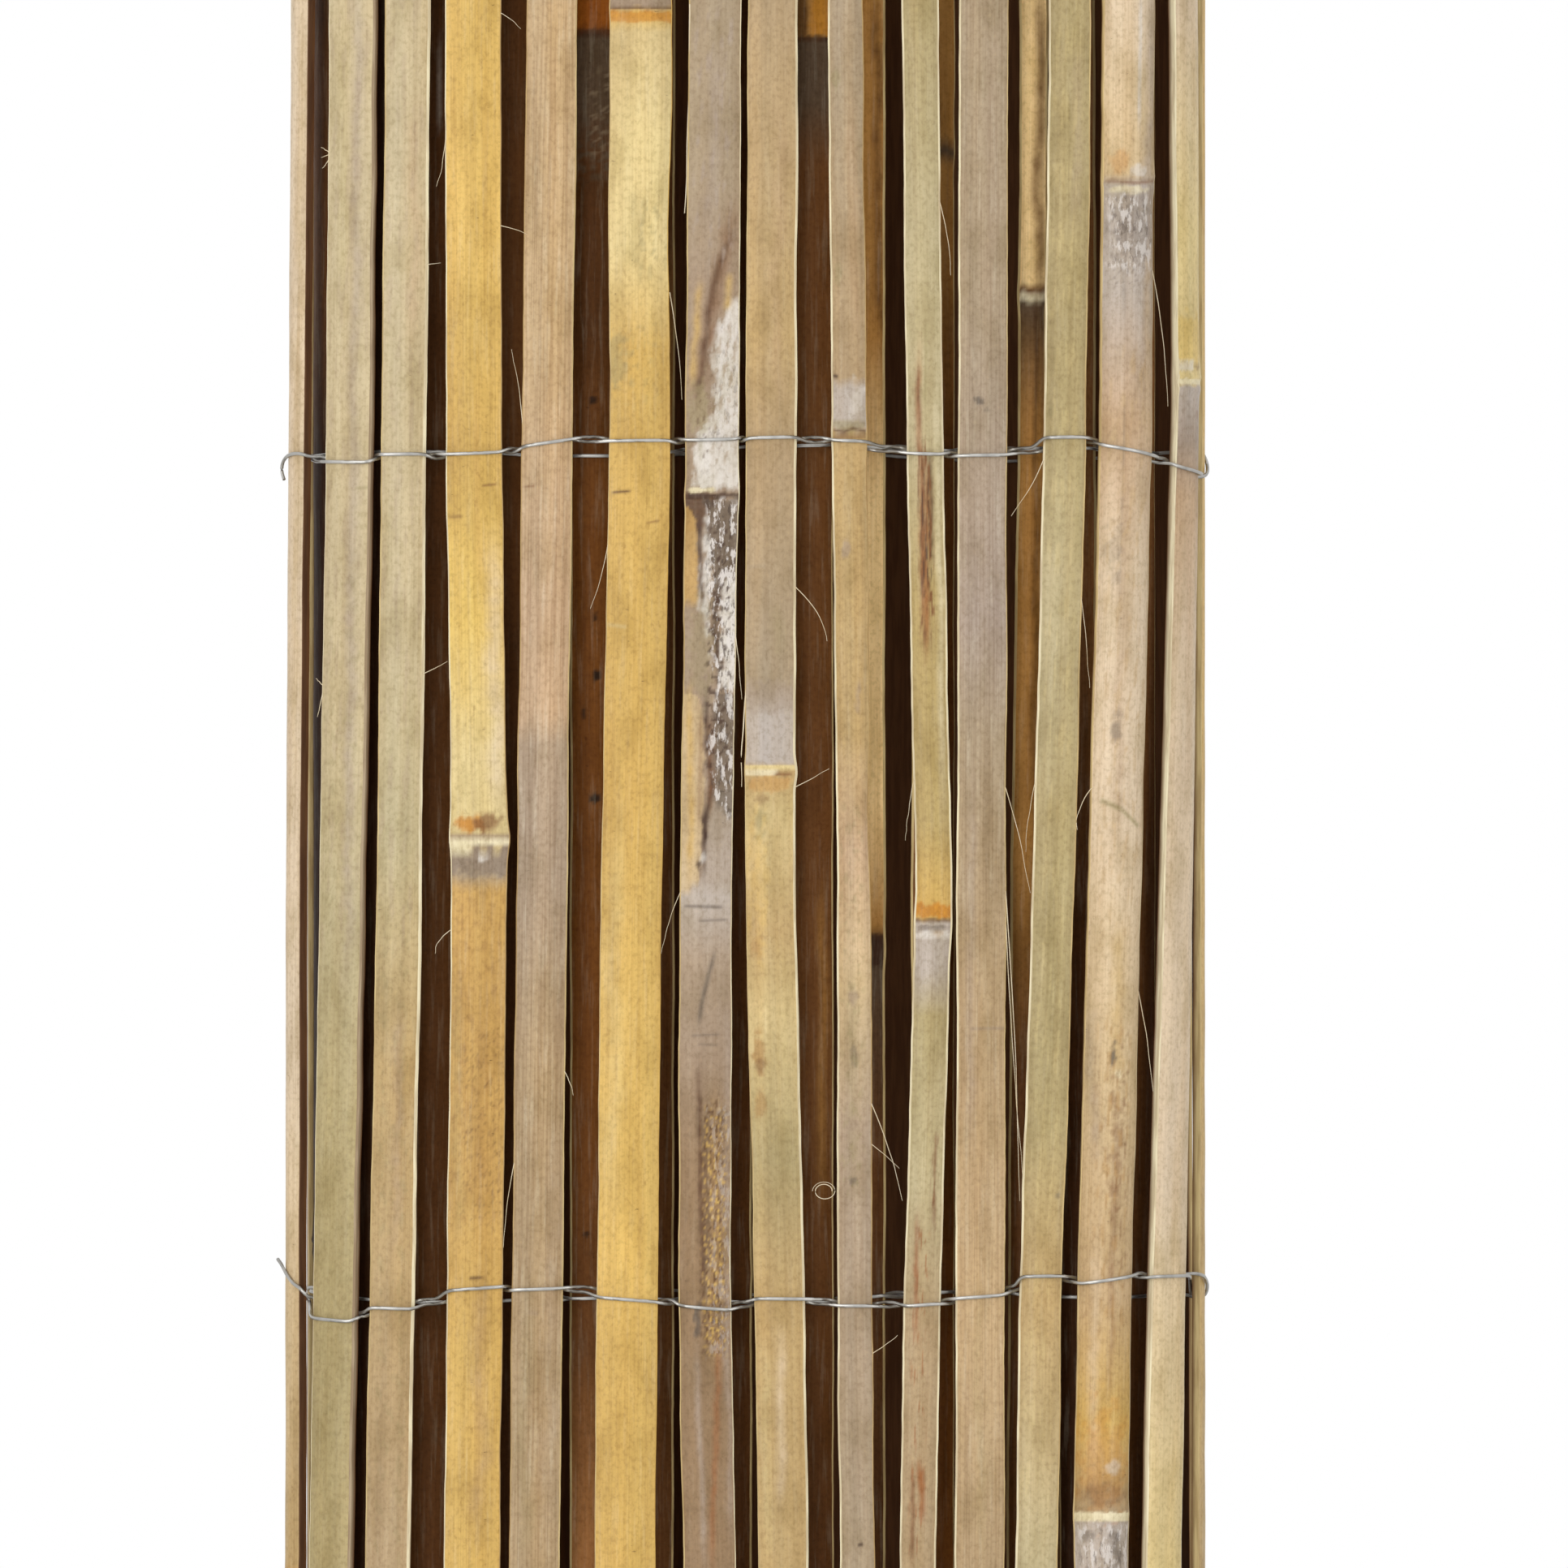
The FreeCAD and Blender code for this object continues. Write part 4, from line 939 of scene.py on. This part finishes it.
# How far a strand's cut start stands off where no start is listed, in mm.
CUT_START = (-0.2, 0.5, -2.2)
UPPER_WAVE = (-1.4, -1.1, -1.0, 0.0, 2.0, 1.7, 2.0, 1.9, 0.3, -0.7, 0.0, 1.7, -1.7, -4.0)
LOWER_WAVE = (-0.4, -2.9, -0.6, 1.7, 1.6, -0.6, -1.1, -0.6, -1.1, -0.6, 1.7, 3.4, 4.0, 3.6)

# Heights at the left and the right edge of each front slat, of the strand that shows on it.
UPPER_SHOWN = ((-0.5, -0.3), (-1.9, -2.1), (-0.7, -0.6), (-0.7, -0.3), (0.7, 2.0), (1.7, 1.8),
               (1.8, 2.0), (2.2, 2.4), (1.8, 1.6), (-0.5, -0.7), (-0.9, -0.8), (2.3, 2.4),
               (0.9, -0.9), (-2.8, -4.0))
LOWER_SHOWN = ((2.2, 1.5), (-3.6, -4.2), (-1.6, -1.9), (1.4, 2.1), (1.5, 1.8), (0.2, -0.6),
               (-1.3, -2.1), (0.0, -0.1), (-1.3, -1.3), (-1.4, -0.9), (0.0, 0.6), (3.9, 4.0),
               (2.6, 4.0), (3.8, 3.8))
# 1 where the strand that goes behind the next slat passes above the other one, and -1 below.
UPPER_TURNS = (1, -1, -1, 1, 1, -1, 1, -1, 1, 1, -1, 1, 1)
LOWER_TURNS = (1, -1, -1, 1, 1, -1, -1, 1, -1, -1, -1, 1, 1)
# Free starts at the left edge: mm along the roll from its axis, and heights.
UPPER_START = ((-81.7, -4.9), (-82.2, -3.4), (-82.0, -1.9), (-81.3, -0.9), (-80.3, -0.4), (-78.6, -0.3))
LOWER_START = ((-82.85, 6.5), (-82.2, 5.6), (-81.2, 3.9), (-80.0, 2.3), (-78.4, 1.5))
ROW_SHAPES = {
    UPPER_ROW: {"wave": UPPER_WAVE, "shown": UPPER_SHOWN, "turns": UPPER_TURNS, "start": UPPER_START},
    LOWER_ROW: {"wave": LOWER_WAVE, "shown": LOWER_SHOWN, "turns": LOWER_TURNS, "start": LOWER_START},
}


def row_wave(row, gap):
    """How far a wire row wanders up or down at a gap, in mm: listed, or a sine times a cosine."""
    listed = ROW_SHAPES.get(row, {}).get("wave", ())
    if gap < len(listed):
        return listed[gap]
    return 1.3 * math.sin(0.83 * gap + 2.1 * row) * math.cos(0.37 * gap + row)


def row_turn(row, gap):
    """Which strand passes above at a gap: listed, or one way for three gaps and then the other."""
    listed = ROW_SHAPES.get(row, {}).get("turns", ())
    return listed[gap] if gap < len(listed) else (1 if (gap // 3 + row) % 2 else -1)


def level_over(slat, share, outside, lifted):
    """Distance of a wire from the inner face: under it, or over the bow of the outer face.

    The wire bridges the low rims, so its bow falls by 0.62 of the face's own.
    """
    if not outside:
        return np.full_like(share, -STAND_OFF)
    bow = slat.edge + (slat.crown - slat.edge) * np.maximum(1.0 - 0.62 * share ** 2, 0.0)
    return bow + lifted + STAND_OFF


def slat_pass(slat, shares, z, outside):
    """Points of a strand at shares of a slat's half width, over its outer face or under it."""
    middle, across, out = slat.at(z)
    by_node = any(abs(node - z.mean()) < NODE_REACH * MM for node in slat.nodes)
    depth = level_over(slat, np.clip(shares, -1.0, 1.0), outside, NODE_LIFT * by_node)
    flat = middle + across * (shares * (slat.width / 2.0))[:, None] + out * depth[:, None]
    return np.concatenate([flat, z[:, None]], axis=-1)


def free_start(slat, start, base):
    """Points of a strand's free start over the first slat, from their places along the roll.

    Share and depth hang on each other, and three rounds bring them together.
    """
    z = base + np.array([place[1] for place in start]) * MM
    middle, across, out = slat.at(z)
    along = np.array([place[0] for place in start]) * MM
    depth = np.full(len(start), slat.crown + STAND_OFF)
    for _ in range(3):
        shares = (along - middle[:, 0] - out[:, 0] * depth) / (across[:, 0] * slat.width / 2.0)
        depth = level_over(slat, np.clip(shares, -1.0, 1.0), True, 0.0)
    return slat_pass(slat, shares, z, True)


def strand_path(slats, row, strand):
    """Middle line of one strand: over the outer face of one slat, under the next, turn about.

    In each gap the strands change sides, one a little above the other. The whole line is then
    smoothed along its length.
    """
    base = (FIRST_ROW + row * ROW_PITCH) * MM
    shape = ROW_SHAPES.get(row, {})
    shares = np.linspace(-1.0, 1.0, 5)
    passes, sides = [], []
    for number, slat in enumerate(slats):
        outside = (number + strand) % 2 == 0
        before, after = row_wave(row, max(number - 1, 0)), row_wave(row, number)
        shown = shape.get("shown", ())
        if outside and number < len(shown):
            before, after = shown[number]
        z = base + np.interp(shares, [-1.0, 1.0], [before, after]) * MM
        passes.append(slat_pass(slat, shares, z, outside))
        sides.append(row_turn(row, number) * (1.0 if outside else -1.0))
    if strand == 0 and "start" in shape:
        passes[0] = free_start(slats[0], shape["start"], base)
    elif strand == 0:
        passes[0][0] += np.array(CUT_START) * MM
    else:
        passes[0] = passes[0][2:]
    path = [passes[0]]
    for number, following in enumerate(passes[1:]):
        start, end = path[-1][-1], following[0]
        width = np.linalg.norm(end[:2] - start[:2])
        t = np.array([0.5] if width < NARROW_GAP else [0.3, 0.7])
        way = start + (end - start) * t[:, None]
        way[:, 2] = base + (row_wave(row, number) + sides[number] * STRAND_GAP) * MM
        path += [way, following]
    return even_steps(np.concatenate(path), WIRE_STEP)


def even_steps(path, step):
    """The path with evenly spaced points, and corners rounded by a running mean of three, twice."""
    lengths = np.concatenate([[0.0], np.cumsum(np.linalg.norm(np.diff(path, axis=0), axis=-1))])
    count = max(int(lengths[-1] / step), 4)
    places = np.linspace(0.0, lengths[-1], count)
    path = np.stack([np.interp(places, lengths, path[:, k]) for k in range(3)], axis=-1)
    for _ in range(2):
        middle = (path[:-2] + path[1:-1] + path[2:]) / 3.0
        path = np.concatenate([path[:1], middle, path[-1:]])
    return path


def tube(path, radius, sides):
    """Points of a tube: a ring square to the path at each of its points.

    The ring's first direction is level, the cross product of the path's direction and Z, and
    the second is square to both. radius may change along the path.
    """
    ahead = np.gradient(path, axis=0)
    ahead = ahead / np.maximum(np.linalg.norm(ahead, axis=-1, keepdims=True), 1e-12)
    level = np.cross(ahead, UP)
    length = np.linalg.norm(level, axis=-1, keepdims=True)
    level = np.where(length > 1e-2, level / np.maximum(length, 1e-12), np.array([1.0, 0.0, 0.0]))
    second = np.cross(level, ahead)
    turn = np.linspace(0.0, 2.0 * np.pi, sides, endpoint=False)[None, :, None]
    radius = np.broadcast_to(np.asarray(radius), (len(path),))
    ring = level[:, None, :] * np.cos(turn) + second[:, None, :] * np.sin(turn)
    return path[:, None, :] + ring * radius[:, None, None]


def tube_mesh(name, paths, radii, sides):
    """One closed mesh of several tubes, with blunt ends."""
    points, quads, caps, first = [], [], [], 0
    for path, radius in zip(paths, radii):
        grid = tube(path, radius, sides)
        rows = len(grid)
        flat = grid.reshape(-1, 3)
        faces = grid_faces(rows, sides)
        low, high = np.arange(sides)[::-1], np.arange(sides) + (rows - 1) * sides
        if enclosed(flat, faces) < 0.0:
            faces, low, high = faces[:, ::-1], low[::-1], high[::-1]
        points.append(flat)
        quads.append(faces + first)
        caps += [low + first, high + first]
        first += len(flat)
    return make_mesh(name, np.concatenate(points), np.concatenate(quads), caps, turn=60.0)


# Hairs and splinters that stand out from slat edges

# Slat, edge, height of the root, then how far the tip lies to the right and above, the bow of
# the middle to the right, how far it stands off the slats, and its radius, all in mm.
HAIRS = (
    (4, "left", 56.7, -1.6, -10.0, 0.3, 0.3, 0.07), (4, "right", 77.5, 3.6, -2.9, 0.4, 0.3, 0.06),
    (4, "right", 39.8, 4.7, -1.6, 0.6, 0.3, 0.07), (3, "right", 32.9, 2.4, 0.3, 0.0, 0.2, 0.06),
    (5, "left", 4.3, -2.0, 13.6, 0.3, 0.2, 0.07), (3, "right", -39.5, 4.3, 2.2, 0.2, 0.3, 0.07),
    (4, "left", -84.7, -2.9, -4.3, -0.8, 0.3, 0.07), (6, "left", -15.8, -3.2, -12.2, 0.4, -0.4, 0.07),
    (8, "right", -24.1, 5.6, -9.6, 1.2, 0.4, 0.08), (8, "right", -59.6, 6.0, 3.3, 0.2, 0.4, 0.07),
    (7, "left", -78.2, -3.3, -10.8, -0.4, 0.2, 0.06), (5, "right", -109.8, 1.6, -4.3, 0.2, 0.2, 0.07),
    (9, "right", -115.5, 5.5, -17.2, 0.5, 0.2, 0.08), (9, "right", -122.7, 4.9, -4.3, 0.2, 0.3, 0.06),
    (12, "left", -1.4, -5.9, -10.2, 0.5, 0.8, 0.08), (11, "right", -59.6, 4.3, -18.7, 0.4, 0.3, 0.07),
    (12, "left", -58.1, -1.9, -12.9, -0.3, 0.2, 0.06), (13, "left", -59.6, -2.9, -7.5, -0.9, 0.3, 0.08),
    (13, "right", -95.5, 2.6, -17.9, 0.3, 0.2, 0.08), (13, "right", 32.3, 2.9, -24.4, 0.5, 0.2, 0.08),
    (8, "left", -42.3, -0.9, -17.2, -0.2, 0.1, 0.14), (9, "right", -159.8, 4.6, 3.3, 0.2, 0.3, 0.07),
    (2, "left", 53.0, -1.3, 0.8, 0.0, 0.2, 0.08), (2, "left", 52.5, -1.4, -0.5, 0.1, 0.2, 0.08),
    (2, "left", 51.6, -1.1, -1.5, 0.1, 0.2, 0.08), (2, "left", -41.6, -1.3, 1.3, 0.1, 0.2, 0.09),
    (2, "left", -42.6, -1.0, -4.5, 0.1, 0.2, 0.09), (11, "right", -76.8, 2.6, -56.0, 0.4, -0.6, 0.09),
    (11, "right", -80.0, 3.1, -48.0, -0.3, -0.6, 0.08), (4, "left", -65.3, 0.7, -4.3, -0.6, 0.1, 0.18),
    (6, "right", 28.0, 2.2, -19.0, 0.3, -0.2, 0.07), (10, "right", 44.0, 2.0, -13.0, 0.4, 0.0, 0.07),
    (7, "left", 79.0, -0.9, -37.0, 0.2, -0.2, 0.17), (5, "left", -126.0, -1.9, -15.0, -0.3, 0.1, 0.07),
    (12, "right", -26.0, 1.4, -16.0, 0.2, 0.0, 0.06), (7, "right", -31.0, 1.3, -13.0, 0.1, 0.0, 0.07),
    (10, "left", -58.0, -1.5, -11.0, -0.2, 0.1, 0.06),
)
# The curled shaving: where it grows, how far its middle lies away from there, and sizes in mm.
CURL = {"slat": 9, "edge": "left", "height": -131.0, "away": -2.4, "radius": 1.6}
CURL_THICKNESS = 0.09
HAIR_SIDES = 5


def edge_point(slat, edge, height):
    """Point just inside the rim of a slat's outer face, and the directions across and out there."""
    z = (UPPER_HEIGHT + height) * MM
    middle, across, out = [value[0] for value in slat.at(np.array([z]))]
    side = -1.0 if edge == "left" else 1.0
    rim = middle + across * side * (slat.width / 2.0 - 0.15 * MM) + out * (slat.edge - 0.1 * MM)
    return np.array([*rim, z]), np.array([*across, 0.0]), np.array([*out, 0.0])


def hair_path(slats, hair):
    """Path of one hair: a straight way from root to tip, bowed by 4t(1 - t), a little uneven."""
    number, edge, height, along, above, bow, stand, _ = hair
    root, across, out = edge_point(slats[number - 1], edge, height)
    t = np.linspace(0.0, 1.0, 13)[:, None]
    way = across * along * t + UP * above * t + across * bow * 4.0 * t * (1.0 - t)
    wander = across * 0.12 * ripple(t[:, 0], 0.4, int(abs(height) * 10.0))[:, None] * t
    return root + (way + wander + out * stand * smooth(0.0, 0.5, t)) * MM


def curl_path(slats):
    """A shaving that curls once and a half round: a circle that grows and drifts outwards."""
    root, across, out = edge_point(slats[CURL["slat"] - 1], CURL["edge"], CURL["height"])
    turn = np.linspace(0.0, 3.0 * np.pi, 40)[:, None]
    radius = CURL["radius"] * (0.85 + 0.05 * turn)
    ring = across * (CURL["away"] + radius * np.cos(turn)) + UP * radius * np.sin(turn) * 0.8
    return root + (ring + out * (0.3 + 0.08 * turn)) * MM


def hair_mesh(slats):
    """All the hairs and the curl as one mesh of thin tubes that taper towards the tip."""
    paths = [hair_path(slats, hair) for hair in HAIRS] + [curl_path(slats)]
    sizes = [hair[-1] for hair in HAIRS] + [CURL_THICKNESS]
    radii = [size * MM * np.linspace(1.0, 0.45, len(path)) for size, path in zip(sizes, paths)]
    return tube_mesh("bamboo_hairs", paths, radii, HAIR_SIDES)


# Materials

def add(tree, kind, inputs=(), **settings):
    """Add a node with its settings, then set or link its inputs, given by name or number."""
    node = tree.nodes.new(kind)
    for name, value in settings.items():
        setattr(node, name, value)
    for key, value in dict(inputs).items():
        if isinstance(value, bpy.types.NodeSocket):
            tree.links.new(value, node.inputs[key])
        else:
            node.inputs[key].default_value = value
    return node


def new_material(name):
    """Empty node material, and its output."""
    material = bpy.data.materials.new(name)
    material.use_nodes = True
    material.node_tree.nodes.clear()
    return material, add(material.node_tree, "ShaderNodeOutputMaterial")


def rgba(code):
    """Linear colour of a hex value, with full alpha."""
    return (*[float(c) for c in linear(code)], 1.0)


# Depth of the fibres and blotches that the light shows on the skin.
SKIN_RELIEF = 0.10 * MM


def bamboo(name, strength, shine):
    """Split bamboo: a satin skin over straight fibres that show as fine lines along the slat.

    The lines are 0.4 mm apart and some 40 mm long, soft bands are 2.6 mm wide, and specks are
    short marks across the grain. Where a slat is cut, its fibres are paler and dull. Crust is
    old sheath scale: black and white flecks about a millimetre across.
    """
    material, output = new_material(name)
    tree = material.node_tree
    lengths = add(tree, "ShaderNodeUVMap", uv_map="lengths").outputs["UV"]

    def pattern(across_mm, along_mm, detail, rough=0.5):
        """Noise whose grains are so many mm across the slat and along it."""
        scale = (1.0 / (across_mm * MM), 1.0 / (along_mm * MM), 1.0)
        grid = add(tree, "ShaderNodeMapping", {"Vector": lengths, "Scale": scale})
        return add(tree, "ShaderNodeTexNoise", {"Vector": grid.outputs[0], "Scale": 1.0,
                                                "Detail": detail, "Roughness": rough}).outputs["Fac"]

    def spread(value, low, high, top=1.0, floor=0.0):
        """Smooth step from floor at low to top at high."""
        return add(tree, "ShaderNodeMapRange", {"Value": value, "From Min": low, "From Max": high,
                                                "To Min": floor, "To Max": top},
                   interpolation_type="SMOOTHSTEP").outputs["Result"]

    def combine(operation, first, *others):
        """Values joined one after the other by an operation."""
        for other in others:
            first = add(tree, "ShaderNodeMath", {0: first, 1: other}, operation=operation).outputs[0]
        return first

    def blend(amount, below, above, kind):
        """Colour above laid over the colour below by an amount."""
        return add(tree, "ShaderNodeMix", {0: amount, 6: below, 7: above}, data_type="RGBA",
                   blend_type=kind).outputs[2]

    fibres = pattern(0.40, 38.0, 3.0)
    threads = pattern(0.9, 14.0, 4.0, 0.6)
    bands = pattern(2.6, 120.0, 2.0)
    blotches = pattern(1.4, 2.6, 5.0, 0.62)
    flakes = pattern(0.8, 2.8, 4.0, 0.65)
    scale = pattern(1.2, 3.6, 4.0, 0.65)
    grime = pattern(0.8, 1.1, 4.0, 0.65)
    dashes = pattern(1.5, 0.5, 3.0)
    dapple = pattern(5.0, 11.0, 4.0)
    base = add(tree, "ShaderNodeAttribute", attribute_name="tone")
    grain = combine("MULTIPLY", base.outputs["Alpha"], strength)
    marks = add(tree, "ShaderNodeAttribute", attribute_name="marks")
    parts = add(tree, "ShaderNodeSeparateColor", {"Color": marks.outputs["Color"]})
    crust, _, cut = [parts.outputs[k] for k in range(3)]
    specks = marks.outputs["Alpha"]
    colour = base.outputs["Color"]
    # Each layer has a colour, a way of blending, and shares whose product is its amount.
    for code, kind, *amounts in (
            ("#a98c68", "MULTIPLY", spread(fibres, 0.42, 0.62, 0.30), grain),
            ("#fff4d8", "SCREEN", spread(threads, 0.48, 0.72, 0.14), grain),
            ("#d0bc98", "MULTIPLY", spread(bands, 0.40, 0.7, 0.20)),
            ("#c4bb98", "MULTIPLY", spread(dapple, 0.42, 0.72, 0.40)),
            ("#b3a583", "MULTIPLY", spread(grime, 0.46, 0.66, 0.30)),
            ("#fff6e2", "SOFT_LIGHT", spread(grime, 0.44, 0.30, 0.18)),
            ("#8d6a3c", "MULTIPLY", spread(blotches, 0.60, 0.74), specks, 0.40),
            ("#4a301c", "MULTIPLY", spread(dashes, 0.69, 0.74), spread(dapple, 0.5, 0.6), specks, 0.75),
            ("#dfd7d0", "MIX", spread(scale, 0.50, 0.58), crust, 0.85),
            ("#4c3e34", "MIX", spread(flakes, 0.54, 0.62), crust, 0.72)):
        colour = blend(combine("MULTIPLY", *amounts), colour, rgba(code), kind)
    raw = blend(spread(threads, 0.4, 0.6, 0.4), base.outputs["Color"], rgba("#9a7850"), "MULTIPLY")
    colour = blend(cut, colour, raw, "MIX")
    dull = combine("ADD", combine("MULTIPLY", blotches, 0.5), combine("MULTIPLY", cut, 0.5))
    relief = combine("ADD", combine("MULTIPLY", blotches, 0.25), combine("MULTIPLY", threads, 0.3))
    relief = combine("ADD", combine("MULTIPLY", fibres, 0.5), relief)
    relief = combine("SUBTRACT", relief, combine("MULTIPLY", flakes, crust, 0.5))
    bump = add(tree, "ShaderNodeBump", {"Height": relief, "Strength": 0.30, "Distance": SKIN_RELIEF})
    shader = add(tree, "ShaderNodeBsdfPrincipled", {
        "Base Color": colour, "Roughness": spread(dull, 0.0, 0.8, 0.75, 0.42), "IOR": 1.47,
        "Normal": bump.outputs[0], "Specular IOR Level": shine})
    tree.links.new(shader.outputs[0], output.inputs[0])
    return material


def clouded(name, size_mm, detail, low, high, **settings):
    """Material whose colour drifts between two, with its clouds of noise and its shader."""
    material, output = new_material(name)
    tree = material.node_tree
    place = add(tree, "ShaderNodeTexCoord").outputs["Object"]
    clouds = add(tree, "ShaderNodeTexNoise", {"Vector": place, "Scale": 1.0 / (size_mm * MM),
                                              "Detail": detail}).outputs["Fac"]
    colour = add(tree, "ShaderNodeMix", {0: clouds, 6: rgba(low), 7: rgba(high)}, data_type="RGBA")
    shader = add(tree, "ShaderNodeBsdfPrincipled", {"Base Color": colour.outputs[2], **settings})
    tree.links.new(shader.outputs[0], output.inputs[0])
    return material, clouds, shader


def galvanised():
    """Drawn wire whose zinc has weathered: a soft grey shine, with clouds 2 mm long."""
    material, clouds, shader = clouded("weathered_galvanised_wire", 2.0, 3.0, "#86847f", "#c9c7c2",
                                       Metallic=1.0)
    tree = material.node_tree
    rough = add(tree, "ShaderNodeMapRange", {"Value": clouds, "To Min": 0.30, "To Max": 0.5})
    tree.links.new(rough.outputs["Result"], shader.inputs["Roughness"])
    return material


def raw_fibre():
    """Torn bamboo fibre: pale cream and dull, a little darker in places some 4 mm long."""
    return clouded("raw_bamboo_fibre", 4.0, 2.0, "#cdb588", "#f6ecd4", Roughness=0.7)[0]


# Stage, light and camera

def white_for_viewer(tree):
    """1 for what the camera, a mirror or glass sees directly, and 0 for light that falls on things."""
    path = add(tree, "ShaderNodeLightPath")
    total = path.outputs["Is Camera Ray"]
    for name in ("Is Glossy Ray", "Is Transmission Ray"):
        total = add(tree, "ShaderNodeMath", {0: total, 1: path.outputs[name]}, operation="ADD",
                    use_clamp=True).outputs[0]
    return total


# Half the side of the floor, and how far from the roll it starts and ends its fade to white.
FLOOR_REACH = 1.6
FADE_START = 0.45
FADE_END = 1.4
WHITE = (1.0, 1.0, 1.0, 1.0)


def make_floor():
    """Pale floor that fades to white away from the roll."""
    corners = [(x * FLOOR_REACH, y * FLOOR_REACH, 0.0) for x, y in ((-1, -1), (1, -1), (1, 1), (-1, 1))]
    mesh = bpy.data.meshes.new("floor")
    mesh.from_pydata(corners, [], [(0, 1, 2, 3)])
    floor = bpy.data.objects.new("floor", mesh)
    bpy.context.scene.collection.objects.link(floor)
    material, output = new_material("pale_floor")
    tree = material.node_tree
    place = add(tree, "ShaderNodeTexCoord").outputs["Object"]
    away = add(tree, "ShaderNodeVectorMath", {0: place}, operation="LENGTH").outputs["Value"]
    fade = add(tree, "ShaderNodeMapRange", {"Value": away, "From Min": FADE_START,
                                            "From Max": FADE_END}, interpolation_type="SMOOTHSTEP")
    matt = add(tree, "ShaderNodeBsdfPrincipled", {"Base Color": rgba("#f2f1ee"), "Roughness": 0.8})
    white = add(tree, "ShaderNodeEmission", {"Color": WHITE, "Strength": 1.0})
    amount = add(tree, "ShaderNodeMath", {0: fade.outputs["Result"], 1: white_for_viewer(tree)},
                 operation="MULTIPLY")
    both = add(tree, "ShaderNodeMixShader", {0: amount.outputs[0], 1: matt.outputs[0],
                                             2: white.outputs[0]})
    tree.links.new(both.outputs[0], output.inputs[0])
    mesh.materials.append(material)


def make_surround():
    """White surround, which lights the roll with less than it shows the camera."""
    world = bpy.data.worlds.new("soft_surround")
    bpy.context.scene.world = world
    world.use_nodes = True
    tree = world.node_tree
    tree.nodes.clear()
    strength = add(tree, "ShaderNodeMapRange", {"Value": white_for_viewer(tree), "To Min": AMBIENT,
                                                "To Max": 1.0})
    back = add(tree, "ShaderNodeBackground", {"Color": WHITE, "Strength": strength.outputs["Result"]})
    tree.links.new(back.outputs[0], add(tree, "ShaderNodeOutputWorld").inputs[0])


def aim(thing, target):
    """Turn a lamp or the camera, which look along their own -Z, towards a point."""
    direction = np.array(target) - np.array(thing.location)
    flat = math.hypot(direction[0], direction[1])
    thing.rotation_euler = (math.pi / 2.0 + math.atan2(direction[2], flat), 0.0,
                            math.atan2(-direction[0], direction[1]))


def make_lamp(name, place, size, power):
    """Square soft box aimed at the middle of the photographed part."""
    lamp = bpy.data.lights.new(name, "AREA")
    lamp.shape = "SQUARE"
    lamp.size = size
    lamp.energy = power
    piece = bpy.data.objects.new(name, lamp)
    piece.location = place
    aim(piece, VIEW_MIDDLE)
    bpy.context.scene.collection.objects.link(piece)


def make_camera():
    """Long lens straight in front, far enough that the frame takes in the photograph's width."""
    camera = bpy.data.cameras.new("camera")
    camera.lens = LENS
    camera.sensor_width = SENSOR
    piece = bpy.data.objects.new("camera", camera)
    distance = VIEW_WIDTH * LENS / SENSOR
    piece.location = (VIEW_MIDDLE[0], VIEW_MIDDLE[1] - distance, VIEW_MIDDLE[2])
    piece.rotation_euler = (math.pi / 2.0, 0.0, 0.0)
    camera.clip_start, camera.clip_end = 0.05, 50.0
    bpy.context.scene.collection.objects.link(piece)
    bpy.context.scene.camera = piece


# Soft boxes: name, place, side and power in watts.
LAMPS = (("soft_box_left", (-1.1, -1.9, 0.80), 1.3, 21.0),
         ("soft_box_right", (1.5, -1.7, 0.60), 1.3, 10.0))

make_camera()
make_floor()
make_surround()
for lamp in LAMPS:
    make_lamp(*lamp)
bpy.context.scene.view_settings.view_transform = "Standard"

skin_material = bamboo("split_bamboo_skin", 1.0, 0.30)
shaded_material = bamboo("shaded_bamboo_skin", 0.8, 0.05)
slats = main_pieces()
for number, slat in enumerate(slats):
    if slat.inner:
        build_slat(slat, number, shaded_material)
    else:
        build_slat(slat, number, skin_material)

wire_material = galvanised()
for row in range(ROWS):
    for strand in (0, 1):
        label = "wire_row_%d_strand_%s" % (row + 1, "ab"[strand])
        path = strand_path(slats, row, strand)
        mesh = tube_mesh(label + "_wire", [path], [WIRE_RADIUS], WIRE_SIDES)
        place_piece(mesh, wire_material, [label])

place_piece(hair_mesh(slats), raw_fibre(), [])
